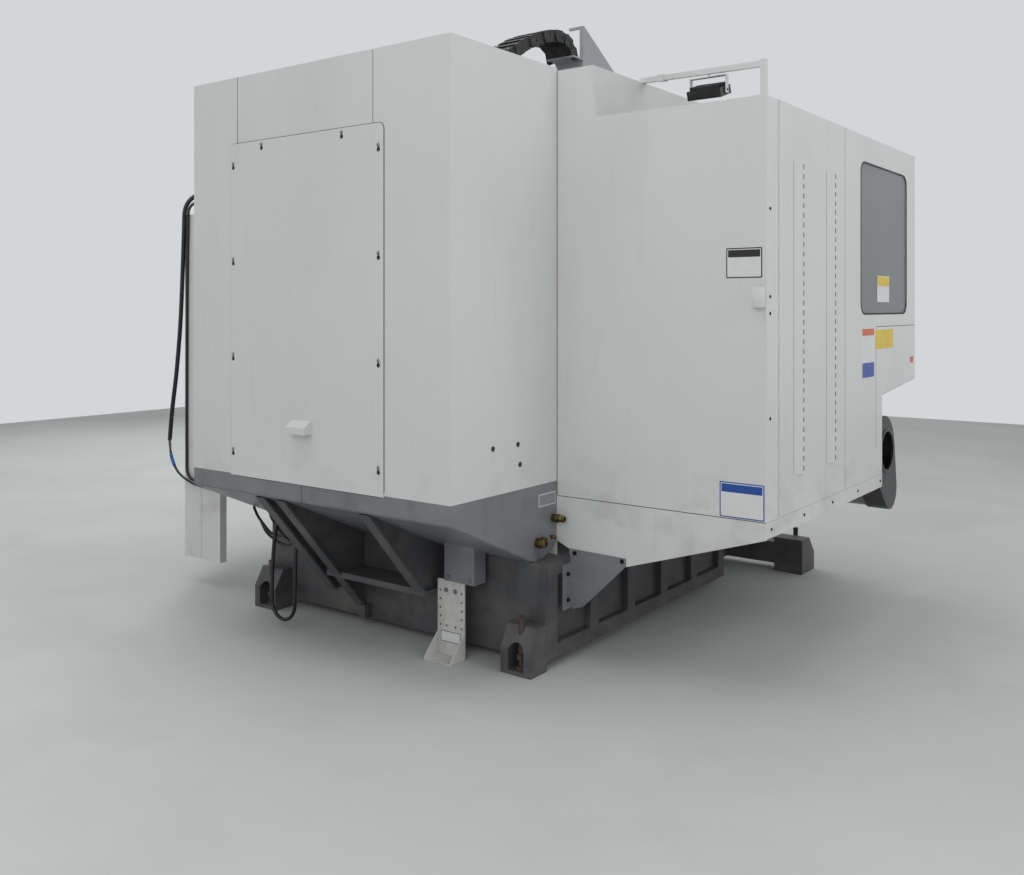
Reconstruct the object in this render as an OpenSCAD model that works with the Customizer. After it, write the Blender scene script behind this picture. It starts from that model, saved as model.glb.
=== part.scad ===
/* [Enclosure] */
// Half of the width over the two side walls
half_w = 1580; // [1540:5:1660]
// Rear face of the wings, measured back from the middle of the machine
wing_y = 762; // [745:1:790]
// Front wall, measured forward from the middle of the machine
front_y = 1048; // [1040:1:1090]
// Height of the wing walls
wall_top = 2100; // [2080:5:2200]
// Height of the tall guard walls beside the column housing
tall_top = 2300; // [2250:5:2400]
// Half of the distance between the tall guard walls
tall_half = 882; // [874:1:920]
// How far forward the tall guard walls run from the middle
tall_front = 200; // [100:10:400]
// Height of the seam between the wall panels and the apron
seam_z = 632; // [620:1:700]
// Lower edge of the apron at the side walls
apron_z = 575; // [550:1:600]
// Thickness of the sheet metal
sheet = 3; // [2:0.5:4]
// Front edge of the lower side wall, measured forward from the middle
lower_front = 530; // [500:5:560]
// Lower edge of the front overhang at the front wall
overhang_z = 1030; // [1010:5:1050]
// Lower edge of the front overhang where it leaves the lower wall
overhang_root_z = 984; // [960:2:1005]

/* [Side vents and windows] */
// Depth of a vent rib over the side wall
rib_depth = 14; // [8:1:20]
// Length of a vent rib from its root to its open edge
rib_length = 76; // [50:1:90]
// Number of slots in one vent rib
rib_slots = 32; // [8:1:36]
// Centre distance of the slots
rib_pitch = 35.6; // [30:0.1:36]
// Lowest edge of the window opening
window_bottom = 1346; // [1320:2:1400]
// Highest edge of the window opening
window_top = 1984; // [1900:2:2020]
// Length of the window opening
window_len = 659; // [500:1:680]
// Corner radius of the window opening
window_r = 45; // [20:1:80]
// Thickness of the window pane
pane_t = 6; // [4:0.5:8]

/* [Column housing] */
// Half of the width of the housing behind the column
housing_half = 714; // [700:1:730]
// Rear face of the housing
housing_rear = 1408; // [1380:1:1440]
// Upper edge of the housing
housing_top = 2312; // [2300:2:2400]
// Upper edge of the grey skirt
skirt_top = 690; // [680:1:720]
// Height of the skirt's rear strip
skirt_band = 70; // [50:1:90]
// Left edge of the rear access panel
access_left = 400; // [370:1:440]
// Right edge of the rear access panel
access_right = 463; // [450:1:500]
// Upper edge of the rear access panel
access_top = 2040; // [1980:2:2100]
// Depth of the small vent hood over the access panel
hood_depth = 40; // [30:1:60]
// Width of the small vent hood
hood_w = 105; // [100:1:180]

/* [Casting and column] */
// Half of the width of the base casting
base_half = 780; // [770:1:790]
// Rear face of the base casting
base_rear = 928; // [920:1:940]
// Height of the deck of the base casting
deck_z = 400; // [395:1:405]
// Floor clearance of the base casting between its feet
base_floor = 36; // [25:1:60]
// Height of the beds that carry the lower guide rails
bed_z = 560; // [555:1:565]
// Front face of the column
column_front = 300; // [296:1:306]
// Half of the width of the column
column_half = 340; // [335:1:360]
// Upper end of the column
column_top = 2230; // [2215:1:2260]
// Width of a guide rail
rail_w = 34; // [30:1:36]
// Height of a guide rail
rail_h = 40; // [38:1:42]
// Running clearance of shafts in their bearings
run_clear = 0.05; // [0.02:0.01:0.08]
// Clearance between pieces that slide past each other
slide_clear = 0.4; // [0.3:0.1:1]

/* [Table and saddle] */
// Length of the work table
table_l = 1220; // [1100:10:1240]
// Depth of the work table
table_d = 456; // [440:2:470]
// Thickness of the work table
table_t = 65; // [60:1:70]
// Number of T-slots
slot_count = 5; // [3:1:5]
// Centre distance of the T-slots
slot_pitch = 80; // [70:1:90]
// Width of the neck of a T-slot
slot_w = 16; // [14:1:18]
// Upper face of the saddle
saddle_top = 780; // [776:1:786]
// Half of the length of the saddle
saddle_half = 640; // [630:1:650]
// Radius of the ball screws
screw_r = 16; // [14:0.5:18]

/* [Spindle and tool changer] */
// Distance of the spindle axis forward of the middle of the machine
spindle_y = 330; // [325:1:335]
// Height of the spindle nose at the top of its travel
nose_z = 1627; // [1622:1:1634]
// Radius of the spindle nose
nose_r = 44; // [40:1:48]
// Half of the width of the head casting
head_half = 190; // [180:1:196]
// Number of pockets of the tool carousel
pockets = 12; // [8:1:14]
// Radius of the circle of pockets
pocket_circle = 240; // [235:1:245]
// Distance of the carousel axis from the spindle axis at rest
carousel_x = 570; // [565:1:575]

/* [Doors and pendant] */
// Half of the width of the door opening
door_half = 570; // [540:5:580]
// Height of the lower edge of the door opening
door_bottom = 1060; // [1055:1:1080]
// Height of the upper edge of the door opening
door_top = 2030; // [1980:2:2034]
// Width of the pendant
pendant_w = 380; // [340:5:385]
// Height of the pendant
pendant_h = 620; // [560:5:640]
// Height of the lower edge of the pendant
pendant_z = 1120; // [1100:5:1160]

/* [Electrical cabinet] */
// Left edge of the cabinet
cabinet_left = 775; // [772:1:800]
// Right edge of the cabinet
cabinet_right = 1396; // [1380:1:1420]
// Rear face of the cabinet door
cabinet_rear = 968; // [958:1:990]
// Lower edge of the cabinet
cabinet_bottom = 565; // [560:1:600]
// Upper edge of the cabinet
cabinet_top = 1833; // [1800:1:1880]

/* [Hidden] */

white_paint = "#d9dbda";
grey_paint = "#77797e";
cast_grey = "#48494b";
steel = "#a9acae";
dark_rubber = "#1c1d1f";
glass_tint = "#7d8790";
$fn = 48;

left = -half_w;
front = -front_y;
wall_in = half_w - sheet;
reach = housing_rear + sheet + hood_depth;
seam_gap = 1;

// Under the rear housing: a pan that slopes from the skirt down to the base casting
skirt_bottom = skirt_top - skirt_band;
skirt_low_y = base_rear - 11;
pan_slope = (skirt_bottom - deck_z) / (housing_rear - skirt_low_y);
function pan_under(y) = deck_z + (y - skirt_low_y) * pan_slope;

// Lower guide rails, saddle and lower ball screw
bed_x = 340;
bed_w = 180;
bed_front = -800;
rail_x = 340;
lower_rail_top = bed_z + rail_h;
truck_w = 70;
truck_l = 110;
truck_reach = 24;
saddle_bottom = lower_rail_top + 4;
saddle_y0 = -spindle_y - 220;
saddle_y1 = -spindle_y + 220;
y_screw_z = 500;
nut_half = 60;

// Upper guide rails, table and upper ball screw
table_rail_y = 140;
table_rail_top = saddle_top + rail_h - 5;
table_bottom = table_rail_top + 10;
table_top = table_bottom + table_t;
trench_half = 45;
trench_floor = saddle_top - 65;
trench_end = saddle_half - 50;
x_screw_z = saddle_top - 20;
table_half = table_l / 2;

// Column, head and vertical ball screw
pedestal_half = 420;
pedestal_z = 700;
z_rail_x = 230;
z_screw_y = column_front - 10;
z_screw_r = screw_r + 4;
channel_half = 90;
head_back = column_front - rail_h - 15;
plate_front = head_back - 45;
head_low = nose_z + 73;
head_high = nose_z + 503;
head_front = -spindle_y - 140;
cap_r = 75;

// Travel covers
cover_half = 600;
cover_top = 700;
cover_low = 606;
cover_t = 30;
column_cover_low = 764;

// Tool changer
beam_z = 1800;
carousel_top = nose_z - 27;
carousel_bottom = carousel_top - 34;
hub_r = 40;

// Doors
door_gap = 2;
door_y1 = front - 8;
door_y0 = door_y1 - 28;
door_z0 = door_bottom - 14;
door_z1 = door_top + 14;
door_w = door_half + 24;
handle_y = door_y0 - 46;
track_half = door_w + door_half + 10;
tongue = 8;

// Pendant
pendant_x = half_w - pendant_w / 2;
pendant_face = -reach + 43;
pendant_back = pendant_face + 115;
pendant_y = (pendant_face + pendant_back) / 2;
arm_z = pendant_z + pendant_h + 60;
arm_r = 28;

// Vents and windows in the side walls
panel_split = -40;
corner_strip_y = wing_y - 110;
rib_z = 763;
window_rear = -242;
window_z = (window_bottom + window_top) / 2;
window_y = window_rear - window_len / 2;
lower_seam_z = 1286;
lower_seam_y = -443;

// Sloping floor under the wings
pan_bend_x = 1028;
pan_side_x = 775;
pan_rise = (apron_z - 1 - deck_z) / (wall_in - pan_bend_x);

// Front trough
trough_y = -930;
trough_z = 500;
trough_r = 86;
side_wall_x = 1200;
side_wall_z = apron_z + 1 - (wall_in - side_wall_x) * pan_rise;
trough_half = 776;
chute_x0 = -half_w + 80;
chute_x1 = chute_x0 + 100;
chute_r = 165;
chute_y = -830;
chute_z = 693;

// Lamp: the post stands in the corner of the left wing, the bar ends on the guard wall
lamp_tube = 20;
lamp_bar_start = [-half_w + 14, wing_y - 14, wall_top + 110];
lamp_bar_end = [-tall_half + 14, 352, tall_top + 13];
lamp_share = 0.41;
lamp_bar_z = lamp_bar_start[2] + lamp_share * (lamp_bar_end[2] - lamp_bar_start[2]);
lamp_x = lamp_bar_start[0] + lamp_share * (lamp_bar_end[0] - lamp_bar_start[0]);
lamp_y = lamp_bar_start[1] + lamp_share * (lamp_bar_end[1] - lamp_bar_start[1]);
lamp_axis_z = lamp_bar_z - 76;
lamp_w = 136;
lamp_l = 92;

// A block between two opposite corners
module block(a, b) {
  translate(a) cube(b - a);
}

// An outline of [y, z] points, drawn along X
module along_x(points, x0, x1) {
  translate([x0, 0, 0]) rotate([90, 0, 90]) linear_extrude(x1 - x0) polygon(points);
}

// An outline of [x, z] points, drawn along Y
module along_y(points, y0, y1) {
  translate([0, y1, 0]) rotate([90, 0, 0]) linear_extrude(y1 - y0) polygon(points);
}

// An outline of [x, y] points, drawn along Z
module along_z(points, z0, z1) {
  translate([0, 0, z0]) linear_extrude(z1 - z0) polygon(points);
}

// The children, and their mirror image on the other side of the machine
module both_sides() {
  children();
  mirror([1, 0, 0]) children();
}

// A round bar along X from x0 to x1
module bar_x(r, x0, x1) {
  translate([x0, 0, 0]) rotate([0, 90, 0]) cylinder(r = r, h = x1 - x0);
}

// A round bar along Y from y0 to y1
module bar_y(r, y0, y1) {
  translate([0, y1, 0]) rotate([90, 0, 0]) cylinder(r = r, h = y1 - y0);
}

// A flat outline with round corners, centred, in the plane of the first two axes
module round_rect(w, h, r) {
  square([w - 2 * r, h], center = true);
  square([w, h - 2 * r], center = true);
  for (x = [-1, 1], y = [-1, 1]) {
    translate([x * (w / 2 - r), y * (h / 2 - r)]) circle(r = r);
  }
}

// A carriage that wraps a guide rail: rail along X, its foot at z = 0
module truck(len, above) {
  difference() {
    block([-len / 2, -truck_w / 2, rail_h - truck_reach], [len / 2, truck_w / 2, above]);
    block([-len / 2 - 1, -rail_w / 2 - slide_clear, 0],
      [len / 2 + 1, rail_w / 2 + slide_clear, rail_h + slide_clear]);
  }
}

// Cast pockets between ribs on one side of the base
module side_pockets() {
  for (i = [0:4]) {
    y0 = base_front_step + 60 + i * 294;
    block([-base_half - 1, y0, 90], [-base_half + 30, y0 + 234, deck_z - 50]);
  }
}

base_front_step = -617;
nose_front = -1100;
nose_half = 620;
foot_in = 640;
foot_out = base_half;
foot_rear = base_rear + 102;
foot_top = 175;
screw_x = (foot_in + foot_out) / 2;
rear_screw_y = base_rear + 62;
front_foot_y = nose_front - 10;
front_foot_x = 960;
level_r = 12;

module rear_foot() {
  difference() {
    along_x([[base_rear - 1, 0], [foot_rear, 0], [foot_rear, 96], [foot_rear - 46, foot_top],
      [base_rear - 1, foot_top]], foot_in, foot_out);
    // Arched pocket that the levelling screw stands in
    block([screw_x - 36, base_rear + 28, 14], [screw_x + 36, foot_rear + 1, 84]);
    translate([screw_x, 0, 84]) bar_y(36, base_rear + 28, foot_rear + 1);
    translate([screw_x, rear_screw_y, 100]) cylinder(r = level_r + run_clear, h = 100);
  }
}

module front_foot() {
  difference() {
    union() {
      block([nose_half - 1, nose_front, 40], [front_foot_x + 80, nose_front + 110, 150]);
      along_x([[nose_front - 60, 0], [nose_front + 110, 0], [nose_front + 110, foot_top],
        [nose_front + 10, foot_top], [nose_front - 60, 90]],
        front_foot_x - 70, front_foot_x + 80);
    }
    block([front_foot_x - 34, nose_front - 61, 14], [front_foot_x + 34, nose_front + 34, 110]);
    translate([front_foot_x, front_foot_y, 100]) cylinder(r = level_r + run_clear, h = 100);
  }
}

module base_casting() {
  color(cast_grey) difference() {
    union() {
      block([-base_half, base_front_step, base_floor], [base_half, base_rear, deck_z]);
      block([-nose_half, nose_front, base_floor],
        [nose_half, base_front_step + 1, deck_z]);
      both_sides() block([bed_x - bed_w / 2, bed_front, deck_z - 1],
        [bed_x + bed_w / 2, column_front + 1, bed_z]);
      block([-pedestal_half, column_front, deck_z - 1],
        [pedestal_half, base_rear, pedestal_z]);
      block([-nut_half, bed_front, deck_z - 1], [nut_half, bed_front + 60, bed_z - 20]);
      block([-nut_half, column_front - 50, deck_z - 1],
        [nut_half, column_front + 1, bed_z - 20]);
      both_sides() rear_foot();
      both_sides() front_foot();
    }
    both_sides() side_pockets();
    // Tunnel for the lower drive motor
    block([-channel_half, column_front + 10, y_screw_z - 90],
      [channel_half, column_front + 250, y_screw_z + 90]);
    translate([0, 0, y_screw_z]) {
      bar_y(screw_r + run_clear, bed_front - 1, bed_front + 61);
      bar_y(screw_r + run_clear, column_front - 51, column_front + 11);
    }
    // Shallow relief under the casting between its long edges
    block([-base_half + 120, base_front_step + 120, base_floor - 1],
      [base_half - 120, base_rear - 120, base_floor + 60]);
  }
}

module levelling_screw() {
  translate([0, 0, 15]) cylinder(r = level_r, h = 185);
  translate([0, 0, 14]) cylinder(r = 22, h = 12);
  translate([0, 0, 52]) cylinder(r = 20, h = 18, $fn = 6);
  translate([-10, -10, 198]) cube([20, 20, 14]);
}

module levelling_screws() {
  color(steel) {
    both_sides() translate([screw_x, rear_screw_y, 0]) levelling_screw();
    both_sides() translate([front_foot_x, front_foot_y, 0]) levelling_screw();
  }
}

module column() {
  column_side = [[column_front, pedestal_z], [900, pedestal_z], [900, 900], [700, 1500],
    [640, column_top], [column_front, column_top]];
  color("#5b5e60") difference() {
    union() {
      difference() {
        along_x(column_side, -column_half, column_half);
        // Channel that the vertical ball screw runs in
        block([-channel_half, column_front - 1, pedestal_z + 100],
          [channel_half, column_front + 60, column_top - 60]);
        // Cast windows in both flanks
        both_sides() for (z = [800, 1260, 1720]) {
          block([column_half - 50, column_front + 70, z],
            [column_half + 1, column_front + 250, z + 380]);
        }
      }
      // Upper bearing housing of the vertical ball screw
      block([-70, z_screw_y - 50, column_top - 60], [70, column_front + 1, column_top]);
      block([-70, z_screw_y - 40, pedestal_z + 40], [70, column_front + 1, pedestal_z + 101]);
      // Ledge that the fixed end of the cable carrier is bolted to
      block([carrier_x - 80, 540, column_top - 1], [carrier_x + 80, 636, column_top + 8]);
      block([carrier_x - 75, carrier_y0 - 30, column_top - 1],
        [carrier_x + 75, carrier_y0 + 30, carrier_z0]);
    }
    translate([0, z_screw_y, pedestal_z + 60]) {
      cylinder(r = z_screw_r + run_clear, h = column_top);
    }
  }
}

module guide_rails() {
  color(steel) {
    both_sides() block([rail_x - rail_w / 2, bed_front + 5, bed_z],
      [rail_x + rail_w / 2, column_front, lower_rail_top]);
    both_sides() block([z_rail_x - rail_w / 2, column_front - rail_h, pedestal_z + 70],
      [z_rail_x + rail_w / 2, column_front, column_top - 10]);
  }
}

module drive_motor(w, len) {
  // Square servo motor along +Z: flange, body with a waist, connector cap
  translate([-w / 2, -w / 2, 0]) cube([w, w, 14]);
  translate([0, 0, 13]) cylinder(r = w / 2 - 6, h = len - 60);
  translate([-w / 2, -w / 2, len - 50]) cube([w, w, 50]);
  translate([-24, w / 2 - 1, len - 44]) cube([48, 26, 34]);
}

module axis_motors() {
  color("#2b2c2e") {
    translate([0, column_front + 11, y_screw_z]) rotate([-90, 0, 0]) drive_motor(130, 220);
    translate([0, z_screw_y, column_top]) drive_motor(150, 240);
  }
}

strut_xs = [-285, 183, 300];
shelf_z = 256;
strut_top_y = housing_rear - 22;

// One sloped rib of the rear overhang: a triangular web with a flange on its long edge
module strut(low_z) {
  top_z = pan_under(strut_top_y) - 4;
  run = (strut_top_y - base_rear) / (top_z - 80);
  low_y = base_rear + (low_z - 80) * run;
  along_x([[base_rear, low_z], [low_y, low_z], [strut_top_y, top_z],
    [base_rear, pan_under(base_rear) - 4]], -6, 6);
  along_x([[low_y, low_z], [low_y + 14, low_z], [strut_top_y + 12, top_z], [strut_top_y, top_z]],
    -26, 26);
}

module rear_struts() {
  color("#55575a") {
    translate([strut_xs[0], 0, 0]) strut(shelf_z);
    translate([strut_xs[1], 0, 0]) strut(80);
    translate([strut_xs[2], 0, 0]) strut(150);
    // Shelf plate between the ribs, with a turned-up front lip
    block([strut_xs[0] - 26, base_rear, shelf_z - 6], [strut_xs[1] + 60, base_rear + 158, shelf_z]);
    block([strut_xs[0] - 26, base_rear + 152, shelf_z - 18],
      [strut_xs[1] + 60, base_rear + 158, shelf_z + 6]);
    // Small bolted clip near the floor
    block([strut_xs[1] - 46, base_rear, 40], [strut_xs[1] - 16, base_rear + 40, 96]);
  }
}

leg_x0 = -456;
leg_x1 = -320;
leg_y = 1018;
leg_top = 300;
bracket_x0 = -513;
bracket_x1 = -363;
bracket_back = leg_y - 58;
bracket_face = leg_y + 12;

module leg_bracket() {
  color(grey_paint) difference() {
    along_x([[bracket_back, leg_top], [bracket_face, leg_top],
      [bracket_face, pan_under(bracket_face) - 4], [bracket_back, pan_under(bracket_back) - 4]],
      bracket_x0, bracket_x1);
    along_x([[bracket_back - 1, leg_top + 6], [bracket_face - 4, leg_top + 6],
      [bracket_face - 4, pan_under(bracket_face)], [bracket_back - 1, pan_under(bracket_back)]],
      bracket_x0 + 4, bracket_x1 - 4);
  }
}

module support_leg() {
  color(white_paint) difference() {
    union() {
      block([leg_x0, leg_y - 4, 0], [leg_x1, leg_y + 2, leg_top]);
      block([leg_x0, leg_y - 40, leg_top - 6], [bracket_x1, leg_y - 3, leg_top]);
      block([leg_x0, leg_y - 4, 0], [leg_x1, leg_y + 84, 6]);
      along_x([[leg_y + 1, 5], [leg_y + 84, 5], [leg_y + 84, 12], [leg_y + 1, 96]],
        leg_x1 - 5, leg_x1);
      along_x([[leg_y + 1, 5], [leg_y + 84, 5], [leg_y + 84, 12], [leg_y + 1, 96]],
        leg_x0, leg_x0 + 5);
    }
    for (z = [120:34:leg_top - 20], x = [leg_x0 + 14, leg_x1 - 14]) {
      translate([x, 0, z]) bar_y(5, leg_y - 10, leg_y + 10);
    }
    for (x = [leg_x0 + 45, leg_x1 - 45]) {
      translate([x, 0, leg_top - 40]) bar_y(5, leg_y - 10, leg_y + 10);
      translate([x, 0, leg_top - 180]) bar_y(5, leg_y - 10, leg_y + 10);
    }
  }
}

module skirt() {
  side = [[wing_y, 456], [wing_y + 40, 428], [wing_y + 90, 406], [skirt_low_y, deck_z],
    [housing_rear, skirt_bottom], [housing_rear, skirt_top], [wing_y, skirt_top]];
  color(grey_paint) {
    both_sides() along_x(side, housing_half - 4, housing_half);
    block([-housing_half + 4, housing_rear - 4, skirt_bottom],
      [housing_half - 4, housing_rear, skirt_top]);
    // Sloping pan that closes the housing from below
    along_x([[base_rear, pan_under(base_rear) - 4], [housing_rear - 4, pan_under(housing_rear - 4) - 4],
      [housing_rear - 4, pan_under(housing_rear - 4)], [base_rear, pan_under(base_rear)]],
      -housing_half + 4, housing_half - 4);
  }
}

rear_seam_left = -345;
rear_seam_right = 426;

module housing_corner_panel(seam) {
  along_z([[seam, housing_rear], [housing_half, housing_rear], [housing_half, wing_y],
    [housing_half - sheet, wing_y], [housing_half - sheet, housing_rear - sheet],
    [seam, housing_rear - sheet]], skirt_top, housing_top);
  // Folded rims
  block([seam, housing_rear - 40, housing_top - sheet],
    [housing_half - sheet, housing_rear - sheet, housing_top]);
  block([housing_half - 40, wing_y, housing_top - sheet],
    [housing_half - sheet, housing_rear - sheet, housing_top]);
  block([seam, housing_rear - 30, skirt_top], [seam + sheet, housing_rear - sheet, housing_top]);
  block([housing_half - 40, wing_y, skirt_top],
    [housing_half - sheet, wing_y + sheet, housing_top]);
}

plug_points = [[1172, 860], [1020, 860], [1007, 784]];

module housing_corner_panels() {
  color(white_paint) {
    difference() {
      mirror([1, 0, 0]) housing_corner_panel(-rear_seam_left);
      for (p = plug_points) {
        translate([0, p[0], p[1]]) bar_x(8, -housing_half - 1, -housing_half + 10);
      }
    }
    housing_corner_panel(rear_seam_right);
  }
}

upper_panel_z = access_top - 40;

module upper_rear_panel() {
  color(white_paint) {
    block([rear_seam_left + seam_gap, housing_rear - sheet, upper_panel_z],
      [rear_seam_right - seam_gap, housing_rear, housing_top]);
    block([rear_seam_left + seam_gap, housing_rear - 40, housing_top - sheet],
      [rear_seam_right - seam_gap, housing_rear - sheet, housing_top]);
    block([rear_seam_left + seam_gap, housing_rear - 25, upper_panel_z],
      [rear_seam_right - seam_gap, housing_rear - sheet, upper_panel_z + sheet]);
  }
}

hood_x = 30;
hood_z = 908;

module rear_access_panel() {
  panel_w = access_left + access_right;
  panel_h = access_top - skirt_top + 5;
  color(white_paint) translate([(access_right - access_left) / 2, housing_rear + sheet, 0]) {
    rotate([90, 0, 0]) linear_extrude(sheet) difference() {
      union() {
        translate([0, access_top - panel_h / 2]) round_rect(panel_w, panel_h, 24);
        translate([-panel_w / 2, access_top - panel_h]) square([panel_w, 60]);
      }
      // Breather holes under the hood
      for (i = [-2:2]) {
        translate([hood_x - (access_right - access_left) / 2 + i * 22, hood_z]) circle(r = 7);
      }
    }
  }
}

module vent_hood() {
  back = housing_rear + sheet;
  color("#e4e5e4") difference() {
    along_x([[back, hood_z + 27], [back + 6, hood_z + 27], [reach, hood_z + 2],
      [reach, hood_z - 24], [back, hood_z - 24]], hood_x - hood_w / 2, hood_x + hood_w / 2);
    along_x([[back - 1, hood_z + 24], [back + 5, hood_z + 24], [reach - 2, hood_z],
      [reach - 2, hood_z - 25], [back - 1, hood_z - 25]],
      hood_x - hood_w / 2 + 2, hood_x + hood_w / 2 - 2);
  }
}

module rear_wall() {
  // Main sheet with the strip that wraps round the outer corner
  along_z([[housing_half, wing_y], [half_w, wing_y], [half_w, corner_strip_y + seam_gap],
    [wall_in, corner_strip_y + seam_gap], [wall_in, wing_y - sheet],
    [housing_half, wing_y - sheet]], seam_z, wall_top);
  // Tall part beside the housing, with its return
  along_z([[housing_half, wing_y], [tall_half, wing_y], [tall_half, corner_strip_y + seam_gap],
    [tall_half - sheet, corner_strip_y + seam_gap], [tall_half - sheet, wing_y - sheet],
    [housing_half, wing_y - sheet]], wall_top - 300, tall_top);
  // Splash sheet between the wall and the column
  along_y([[pedestal_half + 4, deck_z], [housing_half - 0.2, deck_z], [housing_half - 0.2, seam_z],
    [housing_half + 1, seam_z], [housing_half + 1, wall_top],
    [column_half + 4, wall_top], [column_half + 4, pedestal_z + 4],
    [pedestal_half + 4, pedestal_z + 4]], wing_y - sheet, wing_y);
  // Folded rims along the upper edges
  block([tall_half, wing_y - 25, wall_top - sheet], [wall_in, wing_y - sheet, wall_top]);
  block([housing_half, wing_y - 25, tall_top - sheet], [tall_half - sheet, wing_y - sheet, tall_top]);
}

module rear_walls() {
  color(white_paint) difference() {
    both_sides() rear_wall();
    // Cable port into the electrical cabinet
    block([cabinet_left + 60, wing_y - 10, cabinet_top - 260],
      [cabinet_left + 180, wing_y + 1, cabinet_top - 180]);
  }
}

guard_low = 1500;

module guard_walls() {
  color(white_paint) both_sides() along_y([[tall_half, guard_low], [tall_half, tall_top],
    [tall_half - 22, tall_top], [tall_half - 22, tall_top - sheet], [tall_half - sheet, tall_top - sheet],
    [tall_half - sheet, guard_low + sheet], [tall_half - 22, guard_low + sheet],
    [tall_half - 22, guard_low]], -tall_front, corner_strip_y + seam_gap);
}

// One vent rib: a ramp that rises towards the front and opens there through slots
module vent_rib(y) {
  height = rib_slots * rib_pitch;
  difference() {
    along_z([[half_w - 1, y], [half_w, y], [half_w + rib_depth, y - rib_length + 4],
      [half_w + rib_depth, y - rib_length], [half_w - 1, y - rib_length]], rib_z, rib_z + height);
    // Hollow behind the ramp, open at its lower end
    along_z([[half_w - 2, y - 8], [half_w + rib_depth - 2, y - rib_length + 5],
      [half_w + rib_depth - 2, y - rib_length + 2], [half_w - 2, y - rib_length + 2]],
      rib_z - 1, rib_z + height - 3);
    for (i = [0:rib_slots - 1]) {
      block([half_w + 2, y - rib_length - 1, rib_z + i * rib_pitch + 8],
        [half_w + rib_depth - 2, y - rib_length + 3, rib_z + i * rib_pitch + 30]);
    }
  }
}

rib_rear_y = 512;
rib_front_y = 172;

module side_panel() {
  difference() {
    block([wall_in, panel_split + seam_gap, seam_z], [half_w, corner_strip_y, wall_top]);
    for (y = [rib_rear_y, rib_front_y]) {
      block([wall_in - 1, y - rib_length + 2, rib_z],
        [half_w + 1, y - 8, rib_z + rib_slots * rib_pitch - 3]);
    }
  }
  vent_rib(rib_rear_y);
  vent_rib(rib_front_y);
  block([wall_in - 22, panel_split + seam_gap, wall_top - sheet],
    [wall_in, corner_strip_y, wall_top]);
}

module side_panels() {
  color(white_paint) both_sides() side_panel();
}

module window_panel() {
  difference() {
    along_x([[panel_split, seam_z], [panel_split, wall_top], [front, wall_top], [front, overhang_z],
      [-lower_front, overhang_root_z], [-lower_front, seam_z]], wall_in, half_w);
    translate([wall_in - 1, window_y, window_z]) rotate([90, 0, 90]) linear_extrude(sheet + 2) {
      round_rect(window_len, window_top - window_bottom, window_r);
    }
    // Shallow seams of the lower front panel
    block([half_w - 1, front - 1, lower_seam_z - 1], [half_w + 1, lower_seam_y + 1, lower_seam_z + 1]);
    block([half_w - 1, lower_seam_y - 1, seam_z + 118], [half_w + 1, lower_seam_y + 1, lower_seam_z]);
  }
  block([wall_in - 22, front + sheet, wall_top - sheet], [wall_in, panel_split, wall_top]);
}

module window_panels() {
  color(white_paint) both_sides() window_panel();
}

module side_windows() {
  color(glass_tint, 0.6) both_sides() {
    translate([wall_in - pane_t, window_y, window_z]) rotate([90, 0, 90]) linear_extrude(pane_t) {
      round_rect(window_len + 40, window_top - window_bottom + 40, window_r + 20);
    }
  }
}

module apron() {
  // Rear apron that falls from the corner to the base
  along_y([[housing_half, seam_z - seam_gap], [half_w, seam_z - seam_gap], [half_w, apron_z - 3],
    [pan_bend_x, deck_z - 2], [pan_side_x, 430], [housing_half, 456]], wing_y - sheet, wing_y);
  // Side apron
  block([wall_in, -lower_front, apron_z], [half_w, wing_y - sheet, seam_z - seam_gap]);
  // Upright strip behind the seam that the panels are screwed to
  block([wall_in - sheet, 5 - lower_front, seam_z - 21], [wall_in + 0.5, wing_y - sheet, seam_z - seam_gap]);
  block([wall_in - sheet, 5 - lower_front, seam_z - 21], [wall_in, wing_y - sheet, seam_z + 19]);
}

module aprons() {
  color(white_paint) both_sides() apron();
}

// Folded triangular bracket between the rear apron and the corner of the base
module gusset_bracket() {
  difference() {
    union() {
      along_y([[pan_side_x, 433], [pan_bend_x - 1, 429], [pan_bend_x - 1, deck_z - 1], [838, 216],
        [790, 200], [base_half + 0.3, 240], [base_half + 0.3, deck_z + 1],
        [pan_side_x, deck_z + 4]], wing_y, wing_y + 4);
      // Flange that lies against the side of the base
      block([base_half + 0.3, wing_y, 206], [base_half + 4.3, wing_y + 60, 380]);
    }
    for (p = [[pan_side_x + 26, 418], [pan_bend_x - 16, 417]]) {
      translate([p[0], 0, p[1]]) bar_y(5, wing_y - 1, wing_y + 5);
    }
  }
}

module gusset_brackets() {
  color(grey_paint) both_sides() gusset_bracket();
}

module wing_floor() {
  // Sloping floor from the side wall to the deck of the base
  along_y([[wall_in, apron_z + 1], [pan_bend_x, deck_z + 2], [base_half, deck_z],
    [base_half - 40, deck_z], [base_half - 40, deck_z + 4], [pan_bend_x, deck_z + 6],
    [wall_in, apron_z + 5]], -lower_front + 4, wing_y - sheet);
  // Wall under the overhang
  along_y([[wall_in, apron_z + 1], [side_wall_x - 4, side_wall_z], [side_wall_x - 4, overhang_root_z],
    [wall_in, overhang_root_z]], -lower_front, -lower_front + 4);
  // Floor of the overhang
  along_x([[-lower_front + 3, overhang_root_z - 4], [front + sheet, overhang_z - 4],
    [front + sheet, overhang_z], [-lower_front + 3, overhang_root_z]], side_wall_x - 4, wall_in);
  // Floor and side of the lower front box
  along_y([[side_wall_x, side_wall_z], [pan_bend_x, deck_z + 2], [nose_half - 30, deck_z],
    [nose_half - 30, deck_z + 4], [pan_bend_x, deck_z + 6], [side_wall_x, side_wall_z + 4]],
    front + sheet, -lower_front + 4);
  block([side_wall_x - 4, front + sheet, side_wall_z], [side_wall_x, -lower_front + 1, overhang_z]);
}

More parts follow.
